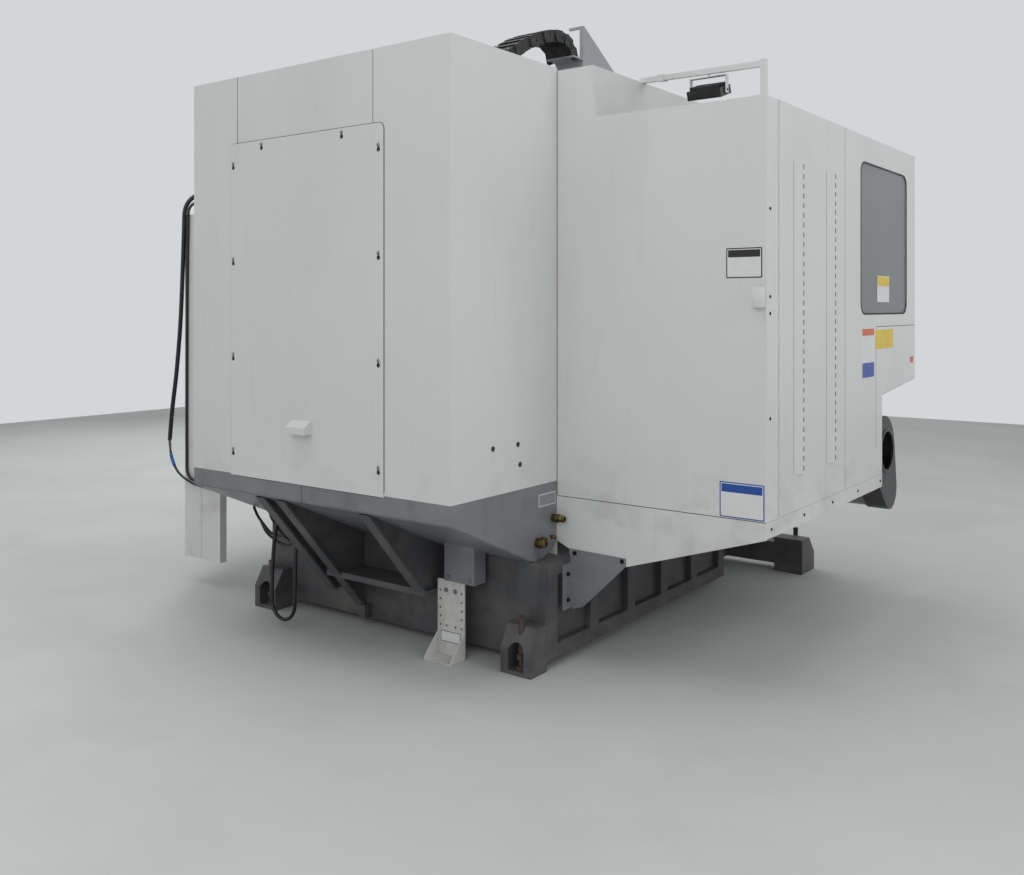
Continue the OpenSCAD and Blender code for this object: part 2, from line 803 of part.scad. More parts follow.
module chip_pan() {
  lip_y = trough_y - trough_r;
  color("#8b8e91") difference() {
    union() {
      both_sides() wing_floor();
      // Floor of the lower front box on the nose of the base
      block([-nose_half + 29, front + sheet, deck_z], [nose_half - 29, bed_front - 6, deck_z + 4]);
      // Front trough, its chip deflectors and its pipe to the left
      translate([0, trough_y, trough_z]) bar_x(trough_r + 4, chute_x1, trough_half + 4);
      along_x([[front + sheet, trough_z + 28], [lip_y, trough_z - 4], [lip_y, trough_z],
        [front + sheet, trough_z + 32]], -trough_half, trough_half);
      along_x([[bed_front - 10, trough_z + 36], [trough_y + trough_r, trough_z - 4],
        [trough_y + trough_r, trough_z], [bed_front - 10, trough_z + 40]],
        -trough_half, trough_half);
    }
    translate([0, trough_y, trough_z]) bar_x(trough_r, chute_x1 - 1, trough_half);
    block([-trough_half, lip_y, trough_z], [trough_half, trough_y + trough_r, trough_z + 100]);
  }
}

module front_frame() {
  color(white_paint) {
    difference() {
      along_y([[-wall_in, overhang_z - 4], [-side_wall_x, overhang_z - 4], [-side_wall_x, side_wall_z],
        [-pan_bend_x, deck_z + 2], [pan_bend_x, deck_z + 2], [side_wall_x, side_wall_z],
        [side_wall_x, overhang_z - 4], [wall_in, overhang_z - 4], [wall_in, wall_top],
        [-wall_in, wall_top]], front, front + sheet);
      block([-door_half, front - 1, door_bottom], [door_half, front + sheet + 1, door_top]);
    }
    // Rims round the opening and along the upper edge
    both_sides() block([door_half, front + sheet, door_bottom],
      [door_half + sheet, front + 40, door_top]);
    block([-door_half - sheet, front + sheet, door_bottom - sheet],
      [door_half + sheet, front + 40, door_bottom]);
    block([-door_half - sheet, front + sheet, door_top],
      [door_half + sheet, front + 40, door_top + sheet]);
    block([-wall_in + 23, front + sheet, wall_top - sheet], [wall_in - 23, front + 40, wall_top]);
  }
}

// A channel that guides the tongue of the doors: mouth towards +Z, sole at z = 0
module door_track() {
  difference() {
    block([-track_half, door_y0 - 10, 0], [track_half, front, 26]);
    block([-track_half - 1, door_y0 + 9, 14], [track_half + 1, door_y1 - 9, 27]);
  }
}

module door_tracks() {
  color(steel) {
    translate([0, 0, door_z0 - 26 - slide_clear]) door_track();
    translate([0, 0, door_z1 + 26 + slide_clear]) mirror([0, 0, 1]) door_track();
  }
}

shell_rear = cabinet_rear - 20;
hinge_x = cabinet_left - 9;
hinge_y = cabinet_rear - 9;
hinge_zs = [cabinet_bottom + 180, cabinet_top - 240];
door_edge = cabinet_right - 58;

module cabinet_shell() {
  color(white_paint) {
    difference() {
      block([cabinet_left, wing_y, cabinet_bottom], [cabinet_right, shell_rear, cabinet_top]);
      block([cabinet_left + 2, wing_y + 2, cabinet_bottom + 2],
        [cabinet_right - 2, shell_rear + 1, cabinet_top - 2]);
      block([cabinet_left + 60, wing_y - 1, cabinet_top - 260],
        [cabinet_left + 180, wing_y + 3, cabinet_top - 180]);
    }
    // Fixed strip beside the door, a folded sheet
    difference() {
      block([door_edge + 1.5, shell_rear - 1, cabinet_bottom], [cabinet_right, cabinet_rear, cabinet_top]);
      block([door_edge + 3.5, shell_rear - 2, cabinet_bottom + 2],
        [cabinet_right - 2, cabinet_rear - 2, cabinet_top - 2]);
    }
    for (z = hinge_zs) {
      translate([hinge_x, hinge_y, z - 60]) cylinder(r = 8, h = 60 - slide_clear);
      translate([hinge_x, hinge_y, z - 1]) cylinder(r = 4, h = 60);
      block([hinge_x - 2, shell_rear - 20, z - 60], [cabinet_left + 1, shell_rear, z - slide_clear]);
      block([hinge_x - 2, shell_rear - 1, z - 60], [hinge_x + 2, hinge_y, z - slide_clear]);
    }
  }
}

module cabinet_backplate() {
  x0 = cabinet_left + 25;
  x1 = cabinet_right - 26;
  back = wing_y + 6;
  color("#b9bcbe") {
    block([x0, wing_y + 2, cabinet_bottom + 40], [x1, back, cabinet_top - 40]);
    // Servo drives in a row, with their fins
    for (i = [0:3]) {
      x = x0 + 40 + i * 124;
      block([x, back - 1, cabinet_top - 420], [x + 96, back + 120, cabinet_top - 300 + 180]);
      for (k = [0:4]) {
        block([x + 8 + k * 18, back + 119, cabinet_top - 400],
          [x + 12 + k * 18, back + 130, cabinet_top - 150]);
      }
    }
    // Cable ducts
    for (z = [cabinet_bottom + 160, cabinet_bottom + 480, cabinet_top - 490]) {
      block([x0 + 10, back - 1, z], [x1 - 10, back + 50, z + 40]);
    }
    // Contactors and breakers
    for (i = [0:6]) {
      block([x0 + 40 + i * 70, back - 1, cabinet_bottom + 240],
        [x0 + 96 + i * 70, back + 70, cabinet_bottom + 350]);
    }
    // Control transformer
    block([x0 + 60, back - 1, cabinet_bottom + 560], [x0 + 220, back + 120, cabinet_bottom + 720]);
    // Processor rack
    block([x0 + 280, back - 1, cabinet_bottom + 550], [x1 - 40, back + 100, cabinet_bottom + 740]);
  }
}

module lower_duct() {
  x0 = 1117;
  fold_x = 1256;
  low = 130;
  color(white_paint) along_z([[x0, 930], [x0, cabinet_rear], [fold_x, cabinet_rear],
    [fold_x + 8, cabinet_rear - 8], [fold_x + 12, cabinet_rear], [cabinet_right, cabinet_rear],
    [cabinet_right, 800], [cabinet_right - sheet, 800], [cabinet_right - sheet, cabinet_rear - sheet],
    [fold_x + 14, cabinet_rear - sheet], [fold_x + 8, cabinet_rear - 12],
    [fold_x - 2, cabinet_rear - sheet], [x0 + sheet, cabinet_rear - sheet], [x0 + sheet, 930]],
    low, cabinet_bottom);
}

// Points on a smooth curve through the given points
function curve_point(a, b, c, d, t) = 0.5 * ((2 * b) + (c - a) * t
  + (2 * a - 5 * b + 4 * c - d) * t * t + (3 * b - a - 3 * c + d) * t * t * t);
function smooth(p, n) = [for (i = [0:len(p) - 2], k = [0:n - 1])
  curve_point(p[max(i - 1, 0)], p[i], p[i + 1], p[min(i + 2, len(p) - 1)], k / n), p[len(p) - 1]];
function unit(v) = v / norm(v);
function heading(p, i) = unit(p[min(i + 1, len(p) - 1)] - p[max(i - 1, 0)]);

// A round cable swept along points that lie near a plane with the given normal
module swept_cable(points, r, normal, sides = 8) {
  count = len(points);
  rings = [for (i = [0:count - 1]) let(t = heading(points, i), u = unit(cross(t, normal)),
    v = cross(u, t)) for (k = [0:sides - 1])
    points[i] + r * (cos(360 * k / sides) * u + sin(360 * k / sides) * v)];
  walls = [for (i = [0:count - 2], k = [0:sides - 1]) let(n = (k + 1) % sides)
    [i * sides + k, i * sides + n, (i + 1) * sides + n, (i + 1) * sides + k]];
  first = [for (k = [sides - 1:-1:0]) k];
  last = [for (k = [0:sides - 1]) (count - 1) * sides + k];
  polyhedron(points = rings, faces = concat(walls, [first, last]));
}

// Cable routes, chosen by hand: in millimetres, from the upper clip to the lower one
door_side = cabinet_rear + 0.3;
under_z = -4.3;
thick_conduit = [[1374, wing_y + 0.3, 1941], [1374, 800, 1941], [1374, 840, 1941], [1375, 875, 1941],
  [1376, 915.2, 1933], [1378, 949.2, 1910.2], [1380, 972, 1876.2], [1383, door_side + 12, 1836],
  [1388, door_side + 12, 1740], [1396, door_side + 12, 1590], [1412, 983, 1300], [1440, 986, 1050],
  [1470, 990, 860], [1492, 990, 700]];
wire_tail = [[1492.7, 990, 699.6], [1486, 990, 650], [1466, 991, 600], [1432, 993, 560], [1390, 996, 535],
  [1330, 999, 515], [1250, 1001, 500], [1050, 1006, 492], [880, 1009, 520], [800, 1010, 540],
  [757, 1010, 540], [housing_half + 0.3, 1010, 540]];
thin_conduit = [[1352, wing_y + 0.3, 1898], [1352, 800, 1898], [1352, 850, 1898], [1353, 915.8, 1898],
  [1354, 938.8, 1893.4], [1355, 958.2, 1880.4], [1357, 971.2, 1861], [1358, door_side + 7.5, 1838],
  [1360, door_side + 7.5, 1780], [1366, door_side + 7.5, 1560], [1370, door_side + 7.5, 1200],
  [1372, door_side + 7.5, 800], [1371, door_side + 7.5, 640], [1371, door_side + 7.5, 578],
  [1366.4, 976.5, 555], [1353.4, 978, 535.6], [1334, 981, 522.6], [1311, 984, 518], [1268, 988, 515],
  [1050, 992, 500], [880, 991, 512], [800, 990, 518], [757, 990, 518], [housing_half + 0.3, 990, 518]];
drip_top = pan_under(1150) + under_z - 4;
drip_loop = [[352, 1150, drip_top], [352, 1150, drip_top - 22], [351, 1153, 440], [348, 1164, 360],
  [347, 1170, 240], [348, 1172, 110], [353.5, 1172, 82.4], [369.1, 1172, 59.1], [392.4, 1172, 43.5],
  [420, 1172, 38], [447.6, 1172, 43.5], [470.9, 1172, 59.1], [486.5, 1172, 82.4], [492, 1172, 110],
  [492, 1170, 240], [489, 1164, 350], [483, 1153, 440], [482, 1150, drip_top - 22],
  [482, 1150, drip_top]];
sag_one = [[336, 1060, pan_under(1060) + under_z - 4.3], [400, 1070, 380], [520, 1070, 322], [640, 1068, 352],
  [700, 1060, 400]];
sag_two = [[336, 1010, pan_under(1010) + under_z - 4.6], [420, 1020, 350], [560, 1020, 330], [670, 1016, 400],
  [700, 1010, pan_under(1010) + under_z - 4.6]];
sag_three = [[345, 1110, pan_under(1110) + under_z - 5.1], [440, 1120, 400], [540, 1120, 372],
  [640, 1118, 430], [690, 1110, pan_under(1110) + under_z - 5.1]];

module cables() {
  color("#151617") {
    swept_cable(smooth(thick_conduit, 2), 11.5, [1, 0, 0]);
    swept_cable(smooth(wire_tail, 2), 6, [0, 1, 0]);
    swept_cable(smooth(thin_conduit, 2), 7, [1, 0.3, 0]);
    swept_cable(smooth(drip_loop, 2), 8, [0, 1, 0]);
    for (route = [sag_one, sag_two, sag_three]) {
      swept_cable(smooth(route, 3), 6, [0, 1, 0]);
    }
  }
}

module lamp_frame() {
  t = lamp_tube;
  span = lamp_bar_end - lamp_bar_start;
  color(white_paint) {
    // Post with its foot on the rim of the wing, in the rear corner
    block([lamp_bar_start[0] - t / 2, lamp_bar_start[1] - t / 2, wall_top],
      [lamp_bar_start[0] + t / 2, lamp_bar_start[1] + t / 2, lamp_bar_start[2] + 15]);
    block([lamp_bar_start[0] - t / 2, lamp_bar_start[1] - t / 2, wall_top],
      [lamp_bar_start[0] + 40, lamp_bar_start[1] + t / 2, wall_top + 3]);
    // Bar from the post up to the guard wall, with the sleeve that joins its two lengths
    translate(lamp_bar_start) {
      rotate([0, -asin(span[2] / norm(span)), atan2(span[1], span[0])]) {
        translate([0, -t / 2, -t / 2]) cube([norm(span), t, t]);
        translate([norm(span) * 0.78, -t / 2 - 3, -t / 2 - 3]) cube([46, t + 6, t + 6]);
      }
    }
    block([lamp_bar_end[0] - 14, lamp_bar_end[1] - 10, tall_top],
      [lamp_bar_end[0] + 2, lamp_bar_end[1] + 12, lamp_bar_end[2] - 4]);
    // Yoke of the lamp
    translate([lamp_x, lamp_y, lamp_axis_z]) difference() {
      union() {
        block([-lamp_w / 2 - 7, -10, 52], [lamp_w / 2 + 7, 10, 56]);
        for (s = [-1, 1]) {
          block([s * (lamp_w / 2 + 5) - 2, -10, -12], [s * (lamp_w / 2 + 5) + 2, 10, 56]);
        }
        cylinder(r = 5, h = lamp_bar_z - lamp_axis_z);
      }
      translate([0, 0, -1]) cylinder(r = 6, h = 53);
      bar_x(4 + run_clear, -lamp_w / 2 - 10, lamp_w / 2 + 10);
    }
  }
}

module work_lamp() {
  color("#5a5d62") translate([lamp_x, lamp_y, lamp_axis_z]) rotate([-19, 0, 0]) {
    difference() {
      block([-lamp_w / 2, -lamp_l / 2, -20], [lamp_w / 2, lamp_l / 2, 14]);
      block([-lamp_w / 2 + 8, -lamp_l / 2 + 8, -21], [lamp_w / 2 - 8, lamp_l / 2 - 8, -6]);
    }
    // Cooling ribs and trunnions
    for (i = [-3:3]) {
      block([-lamp_w / 2 + 10, i * 11 - 1.5, 13], [lamp_w / 2 - 10, i * 11 + 1.5, 26]);
    }
    bar_x(4, -lamp_w / 2 - 9, lamp_w / 2 + 9);
  }
}

// A hose fitting on the left flank of the skirt: hexagon, body and nipple, along -X
module hose_fitting(y, z, r, len) {
  translate([-housing_half, y, z]) rotate([0, -90, 0]) difference() {
    union() {
      cylinder(r = r, h = len * 0.3, $fn = 6);
      cylinder(r = r * 0.72, h = len * 0.7);
      cylinder(r = r * 0.5, h = len);
    }
    translate([0, 0, len / 4]) cylinder(r = r * 0.3, h = len);
  }
}

module wall_fittings() {
  color("#8f7a45") {
    hose_fitting(790, 549, 17, 56);
    hose_fitting(897, 471, 20, 44);
    hose_fitting(864, 481, 8, 24);
    hose_fitting(803, 477, 8, 24);
  }
  // Hose holder on the rear wall near the corner, an open box
  color(white_paint) difference() {
    block([-half_w + 2, wing_y, 1370], [-1537, wing_y + 30, 1440]);
    block([-half_w + 5, wing_y + 3, 1374], [-1540, wing_y + 27, 1441]);
  }
}

module pendant_arm() {
  px = pendant_x;
  color(grey_paint) {
    block([px - 60, front - 14, arm_z - 60], [px + 60, front, arm_z + 60]);
    translate([px, 0, arm_z]) bar_y(arm_r, pendant_y, front - 13);
    translate([px, pendant_y, pendant_z + pendant_h + 12]) {
      cylinder(r = arm_r, h = arm_z - pendant_z - pendant_h - 12);
    }
    translate([px, pendant_y, pendant_z + pendant_h - 20]) cylinder(r = 16, h = 40);
  }
}

module pendant() {
  px = pendant_x;
  face = pendant_face;
  top = pendant_z + pendant_h;
  color("#d2d4d3") difference() {
    union() {
      block([px - pendant_w / 2, face, pendant_z], [px + pendant_w / 2, pendant_back, top]);
      translate([px, pendant_y, top - 1]) cylinder(r = 34, h = 12.5);
      // Bezel round the screen and raised key fields
      block([px - 150, face - 4, top - 290], [px + 150, face + 1, top - 40]);
      for (row = [0:3], col = [0:8]) {
        block([px - 150 + col * 22, face - 3, top - 330 - row * 24],
          [px - 132 + col * 22, face + 1, top - 312 - row * 24]);
      }
      for (row = [0:5], col = [0:3]) {
        block([px + 60 + col * 24, face - 3, top - 332 - row * 24],
          [px + 80 + col * 24, face + 1, top - 312 - row * 24]);
      }
    }
    block([px - 128, face - 5, top - 270], [px + 128, face - 1, top - 60]);
    translate([px, pendant_y, top - 30]) cylinder(r = 16 + run_clear, h = 60);
    // Seats of the push buttons and of the jog wheel
    translate([px - 140, 0, pendant_z + 60]) bar_y(12 + slide_clear, face - 1, face + 40);
    for (x = [-90, -50]) {
      translate([px + x, 0, pendant_z + 60]) bar_y(9 + slide_clear, face - 1, face + 30);
    }
    translate([px + 90, 0, pendant_z + 80]) bar_y(8 + run_clear, face - 1, face + 30);
  }
}

module emergency_stop() {
  color("#b3261e") translate([pendant_x - 140, 0, pendant_z + 60]) {
    bar_y(12, pendant_face - 20, pendant_face + 28);
    bar_y(21, pendant_face - 34, pendant_face - 14);
  }
}

module push_button(x) {
  translate([pendant_x + x, 0, pendant_z + 60]) bar_y(9, pendant_face - 9, pendant_face + 22);
}

module cycle_start_button() {
  color("#2d7a3a") push_button(-90);
}

module feed_hold_button() {
  color("#c9a227") push_button(-50);
}

module jog_wheel() {
  color("#2a2b2d") translate([pendant_x + 90, 0, pendant_z + 80]) {
    bar_y(8, pendant_face - 12, pendant_face + 28);
    difference() {
      bar_y(46, pendant_face - 24, pendant_face - 2);
      for (a = [0:20:340]) {
        rotate([0, a, 0]) translate([48.5, 0, 0]) bar_y(5, pendant_face - 25, pendant_face - 1);
      }
    }
    rotate([0, 40, 0]) translate([30, 0, 0]) bar_y(7, -reach, pendant_face - 23);
  }
}

// Outline of the chute: a drum that narrows down to the pipe of the trough
module chute_form(wall, x0, x1, back) {
  intersection() {
    hull() {
      translate([0, chute_y, chute_z]) bar_x(chute_r - wall, x0, x1);
      translate([0, trough_y, trough_z]) bar_x(trough_r + 12 - wall, x0, x1);
    }
    block([x0 - 1, chute_y - 400, chute_z - 400], [x1 + 1, back, chute_z + 400]);
  }
}

module chip_chute() {
  color(grey_paint) difference() {
    chute_form(0, chute_x0, chute_x1, chute_y + 60);
    chute_form(5, chute_x0 + 4, chute_x1 - 4, chute_y + 55);
    // Discharge mouth in the outer cheek and the way in from the pipe
    translate([0, chute_y - 40, chute_z - 3]) bar_x(90, chute_x0 - 1, chute_x0 + 6);
    translate([0, trough_y, trough_z]) bar_x(trough_r, chute_x1 - 6, chute_x1 + 1);
  }
  // Hanger up to the floor of the overhang
  color(grey_paint) block([chute_x0 + 30, chute_y + 20, chute_z + 155],
    [chute_x0 + 36, chute_y + 50, hanger_top]);
}

hanger_top = overhang_root_z - 4 + (overhang_z - overhang_root_z)
  * (-lower_front + 3 - chute_y - 50) / (-lower_front + 3 - front - sheet);

// Conveyor screw of angled paddles on one shaft
module chip_auger() {
  x0 = chute_x0 + 30;
  step = 68;
  count = floor((trough_half - x0 - 80) / step);
  color(steel) translate([0, trough_y, trough_z]) {
    bar_x(17, x0, trough_half - 0.5);
    for (i = [0:count]) {
      translate([x0 + 40 + i * step, 0, 0]) rotate([i * 60, 0, 0]) rotate([0, 0, 32]) {
        block([-4, -28, 10], [4, 28, 74]);
      }
    }
  }
}

module changer_beam() {
  color("#5b5e60") {
    block([-tall_half + 12, 60, beam_z], [-205, 180, beam_z + 100]);
    // Bracket to the flank of the column
    block([-560, 179, beam_z], [-column_half, 196, beam_z + 100]);
    block([-column_half - 40, 195, beam_z], [-column_half, column_front + 66, beam_z + 100]);
  }
}

arm_half = 45;

module tool_shuttle() {
  cx = -carousel_x;
  slide_x = cx - 125;
  c = slide_clear;
  color("#6e7174") {
    difference() {
      block([slide_x - arm_half, 30, beam_z - 30], [slide_x + arm_half, 178, beam_z + 130]);
      block([slide_x - arm_half - 1, 60 - c, beam_z - c], [slide_x + arm_half + 1, 179, beam_z + 100 + c]);
    }
    // Arm forward to the carousel
    block([cx - arm_half, -spindle_y - 50, carousel_top + 30], [cx + arm_half, 60, carousel_top + 66]);
    block([slide_x - arm_half, -20, carousel_top + 30], [cx + arm_half, 60, carousel_top + 66]);
    block([slide_x - arm_half, 30, carousel_top + 30], [slide_x + arm_half, 59, beam_z - 29]);
    translate([cx, -spindle_y, 0]) {
      translate([0, 0, carousel_top + 10]) cylinder(r = hub_r + 14, h = 24);
      translate([0, 0, carousel_bottom - 20]) cylinder(r = 14, h = 90);
      translate([-30, 0, carousel_top + 65]) cylinder(r = 55, h = 120);
    }
  }
}

module tool_carousel() {
  color("#8d9092") translate([-carousel_x, -spindle_y, 0]) difference() {
    union() {
      translate([0, 0, carousel_bottom]) cylinder(r = pocket_circle + 44, h = 34 - 24);
      translate([0, 0, carousel_bottom]) cylinder(r = hub_r, h = 34 + 9.5);
      // Two fingers for every pocket
      for (i = [0:pockets - 1], s = [-1, 1]) {
        rotate([0, 0, i * 360 / pockets]) {
          translate([pocket_circle - 34, s * 26 - 4, carousel_bottom + 9]) cube([70, 8, 20]);
        }
      }
    }
    translate([0, 0, carousel_bottom - 1]) cylinder(r = 14 + run_clear, h = 60);
    for (i = [0:pockets - 1]) {
      rotate([0, 0, i * 360 / pockets]) {
        translate([pocket_circle, 0, carousel_bottom - 1]) cylinder(r = 20, h = 40);
        translate([pocket_circle, -20, carousel_bottom - 1]) cube([60, 40, 40]);
      }
    }
  }
}

// Cable carrier: a chain of links on one smooth curve from the column to the head
carrier_x = -175;
carrier_w = 150;
carrier_y0 = 600;
carrier_z0 = 2330;
link_h = 56;
link_count = 17;
carrier_points = [[carrier_y0, carrier_z0], [560, 2470], [-40, 2820], [-79, 2586]];
function bezier(p, t) = pow(1 - t, 3) * p[0] + 3 * t * pow(1 - t, 2) * p[1]
  + 3 * t * t * (1 - t) * p[2] + pow(t, 3) * p[3];

// One link: two side plates with cross bars; every second link sits inside its neighbours
module carrier_link(a, b, inner) {
  len = norm(b - a);
  mid = (a + b) / 2;
  outer_x = carrier_w / 2 - inner * 6.5;
  translate([carrier_x, mid[0], mid[1]]) rotate([atan2(b[1] - a[1], b[0] - a[0]), 0, 0]) {
    both_sides() block([outer_x - 7, -len / 2 - 5, -link_h / 2], [outer_x, len / 2 + 5, link_h / 2]);
    for (s = [-1, 1]) {
      translate([0, 0, s * (link_h / 2 - 5)]) {
        cube([2 * outer_x - 13.6, len * 0.5, 8], center = true);
      }
    }
  }
}

module cable_carrier() {
  p = [for (i = [0:link_count]) bezier(carrier_points, i / link_count)];
  color("#161718") difference() {
    for (i = [0:link_count - 1]) {
      carrier_link(p[i], p[i + 1], i % 2);
    }
    block([carrier_x - 90, carrier_y0 - 60, carrier_z0 - 60],
      [carrier_x + 90, carrier_y0 + 60, carrier_z0]);
    block([carrier_x - 90, -180, gusset_ledge_z - 40], [carrier_x + 90, -20, gusset_ledge_z]);
  }
}

gusset_rear = -130;
gusset_top = 2750;
gusset_ledge_z = 2590;
gusset_x = -head_half - 73;

module carrier_gusset() {
  front_y = gusset_rear - 325;
  color("#c3c5c6") {
    along_x([[gusset_rear, head_high], [gusset_rear, gusset_top], [gusset_rear - 10, gusset_top],
      [front_y, gusset_top - 190], [front_y, head_high]], gusset_x, gusset_x + 6);
    // Foot on the head, folded rear edge and the bar at the top
    block([gusset_x, front_y, head_high], [gusset_x + 129, gusset_rear, head_high + 6]);
    block([gusset_x, gusset_rear - 3, head_high], [gusset_x + 20, gusset_rear, gusset_top]);
    block([gusset_x, gusset_rear - 12, gusset_top - 12], [gusset_x + 83, gusset_rear, gusset_top]);
    // Ledge that the moving end of the cable carrier is bolted to
    block([gusset_x, gusset_rear, gusset_ledge_z - 8],
      [carrier_x + 75, gusset_rear + 85, gusset_ledge_z]);
    block([gusset_x, gusset_rear - 8, gusset_ledge_z - 60],
      [carrier_x + 75, gusset_rear + 1, gusset_ledge_z]);
  }
}

// Outline of a bellows: folds along the first axis between two ends
function fold_points(a, b, n, low, high) = [for (i = [0:2 * n])
  [a + (b - a) * i / (2 * n), i % 2 == 0 ? low : high]];

module table_bellows(y0, y1, n) {
  outer = fold_points(y0, y1, n, cover_top - 14, cover_top);
  inner = [for (i = [len(outer) - 1:-1:0]) [outer[i][0], outer[i][1] - 8]];
  color(dark_rubber) {
    along_x(concat(outer, inner), -cover_half, cover_half);
    both_sides() along_z(concat(fold_points(y0, y1, n, cover_half - 14, cover_half) * [[0, 1], [1, 0]],
      [for (i = [2 * n:-1:0]) [fold_points(y0, y1, n, cover_half - 14, cover_half)[i][1] - 8,
      fold_points(y0, y1, n, 0, 1)[i][0]]]), cover_low, cover_top - 16);
  }
}

module front_bellows() {
  table_bellows(front + sheet, saddle_y0, 14);
}

module rear_bellows() {
  table_bellows(saddle_y1, column_front, 12);
}

module column_bellows() {
  n = 26;
  z0 = column_cover_low;
  z1 = head_low;
  face = plate_front - 6;
  folds = fold_points(z0, z1, n, face - 14, face);
  color(dark_rubber) {
    along_x(concat([for (p = folds) [p[1], p[0]]],
      [for (i = [len(folds) - 1:-1:0]) [folds[i][1] + 8, folds[i][0]]]), -290, 290);
    // Side webs back to the column
    both_sides() block([284, face - 2, z0], [290, column_front, z1]);
  }
}

module saddle() {
  color("#6a6d70") difference() {
    union() {
      difference() {
        block([-saddle_half, saddle_y0, saddle_bottom], [saddle_half, saddle_y1, saddle_top]);
        block([-trench_end, -spindle_y - trench_half, trench_floor],
          [trench_end, -spindle_y + trench_half, saddle_top + 1]);
      }
      // Nut housing of the lower ball screw
      block([-nut_half, -spindle_y - 50, y_screw_z - 40], [nut_half, -spindle_y + 50, saddle_bottom + 1]);
    }
    translate([0, 0, y_screw_z]) bar_y(screw_r + run_clear, saddle_y0, saddle_y1);
    translate([0, -spindle_y, x_screw_z]) bar_x(screw_r + run_clear, -saddle_half + 20, saddle_half + 1);
  }
  // Carriages on the lower rails
  color("#3f4143") for (x = [-rail_x, rail_x], y = [saddle_y0 + 60, saddle_y1 - 60]) {
    translate([x, y, bed_z]) rotate([0, 0, 90]) truck(truck_l, rail_h + 4.5);
  }
  // Rails for the table
  color(steel) for (s = [-1, 1]) {
    translate([0, -spindle_y + s * table_rail_y, 0]) {
      block([-saddle_half + 10, -rail_w / 2, saddle_top - 0.5],
        [saddle_half - 10, rail_w / 2, table_rail_top]);
    }
  }
  // Cross drive motor
  color("#2b2c2e") translate([saddle_half - 0.5, -spindle_y, x_screw_z]) {
    rotate([0, 90, 0]) drive_motor(112, 140);
  }
}

module table() {
  y0 = -spindle_y - table_d / 2;
  y1 = -spindle_y + table_d / 2;
  color("#8f9294") {
    difference() {
      block([-table_half, y0, table_bottom], [table_half, y1, table_top]);
      for (i = [0:slot_count - 1]) {
        y = -spindle_y + (i - (slot_count - 1) / 2) * slot_pitch;
        block([-table_half - 1, y - slot_w / 2, table_top - 36],
          [table_half + 1, y + slot_w / 2, table_top + 1]);
        block([-table_half - 1, y - slot_w * 0.9, table_top - 36],
          [table_half + 1, y + slot_w * 0.9, table_top - 20]);
      }
    }
    // Carriages on the table rails
    for (x = [-180, 180], s = [-1, 1]) {
      translate([x, -spindle_y + s * table_rail_y, table_rail_top - rail_h]) {
        truck(truck_l, rail_h + 10.5);
      }
    }
    // Nut housing of the cross ball screw
    difference() {
      block([-40, -spindle_y - trench_half + 3, trench_floor + 8],
        [40, -spindle_y + trench_half - 3, table_bottom + 0.5]);
      translate([0, -spindle_y, x_screw_z]) bar_x(screw_r + run_clear, -41, 41);
    }
  }
}

module spindle_head() {
  throat = head_low + 60;
  profile = [[plate_front, head_low], [plate_front, head_high], [head_front, head_high],
    [head_front, head_low + 30], [head_front + 30, head_low], [-spindle_y + 130, head_low],
    [-spindle_y + 190, throat], [plate_front - 60, throat]];
  color("#cfd1d0") difference() {
    union() {
      along_x(profile, -head_half, head_half);
      block([-270, plate_front - 1, head_low], [270, head_back, head_high]);
      // Nut housing of the vertical ball screw
      block([-nut_half, head_back - 1, head_low + 140], [nut_half, column_front + 40, head_low + 240]);
      translate([0, -spindle_y, nose_z + 22]) cylinder(r = cap_r, h = 52);
      // Carriages on the column rails
      for (x = [-z_rail_x, z_rail_x], z = [head_low + 70, head_high - 70]) {
        difference() {
          block([x - truck_w / 2, head_back - 1, z - truck_l / 2],
            [x + truck_w / 2, column_front - rail_h + truck_reach, z + truck_l / 2]);
          block([x - rail_w / 2 - slide_clear, column_front - rail_h - slide_clear, z - truck_l],
            [x + rail_w / 2 + slide_clear, column_front + 1, z + truck_l]);
        }
      }
    }
    translate([0, z_screw_y, head_low]) cylinder(r = z_screw_r + run_clear, h = head_high);
    translate([0, -spindle_y, nose_z + 10]) cylinder(r = nose_r + run_clear, h = 200);
    // Shallow cast panels on both flanks
    both_sides() block([head_half - 8, head_front + 60, head_low + 130],
      [head_half + 1, plate_front - 60, head_high - 60]);
  }
}

module spindle_motor() {
  w = 125;
  z0 = head_high;
  color("#3a3c3f") translate([0, -spindle_y, z0]) {
    difference() {
      translate([-w, -w, 0]) cube([2 * w, 2 * w, 300]);
      for (s = [-1, 1], i = [-4:4]) {
        block([s * w - 6, i * 24 - 5, 40], [s * w + 6, i * 24 + 5, 270]);
      }
    }
    translate([0, 0, 299]) cylinder(r = w - 8, h = 60);
    translate([0, 0, 358]) cylinder(r = w - 40, h = 12);
  }
}

taper_mouth_r = 22.22;
mouth_l = 6;

module spindle() {
  color("#c9cccd") translate([0, -spindle_y, nose_z]) difference() {
    union() {
      cylinder(r = nose_r, h = 200);
      for (s = [-1, 1]) {
        translate([s * 32 - 8, -8, -6]) cube([16, 16, 8]);
      }
    }
    translate([0, 0, -1]) cylinder(r = taper_mouth_r, h = mouth_l + 1);
    translate([0, 0, mouth_l]) cylinder(r1 = taper_mouth_r, r2 = 12.6, h = 66);
    translate([0, 0, 60]) cylinder(r = 10, h = 80);
    translate([-22, -22, -10]) cube([44, 44, 10]);
  }
}

module y_ball_screw() {
  color(steel) translate([0, 0, y_screw_z]) bar_y(screw_r, bed_front + 4, column_front + 10.5);
}

module z_ball_screw() {
  color(steel) translate([0, z_screw_y, pedestal_z + 60.5]) {
    cylinder(r = z_screw_r, h = column_top - pedestal_z - 61);
  }
}

module x_ball_screw() {
  color(steel) translate([0, -spindle_y, x_screw_z]) bar_x(screw_r, -saddle_half + 20.5, saddle_half - 1);
}

pane_margin = 90;

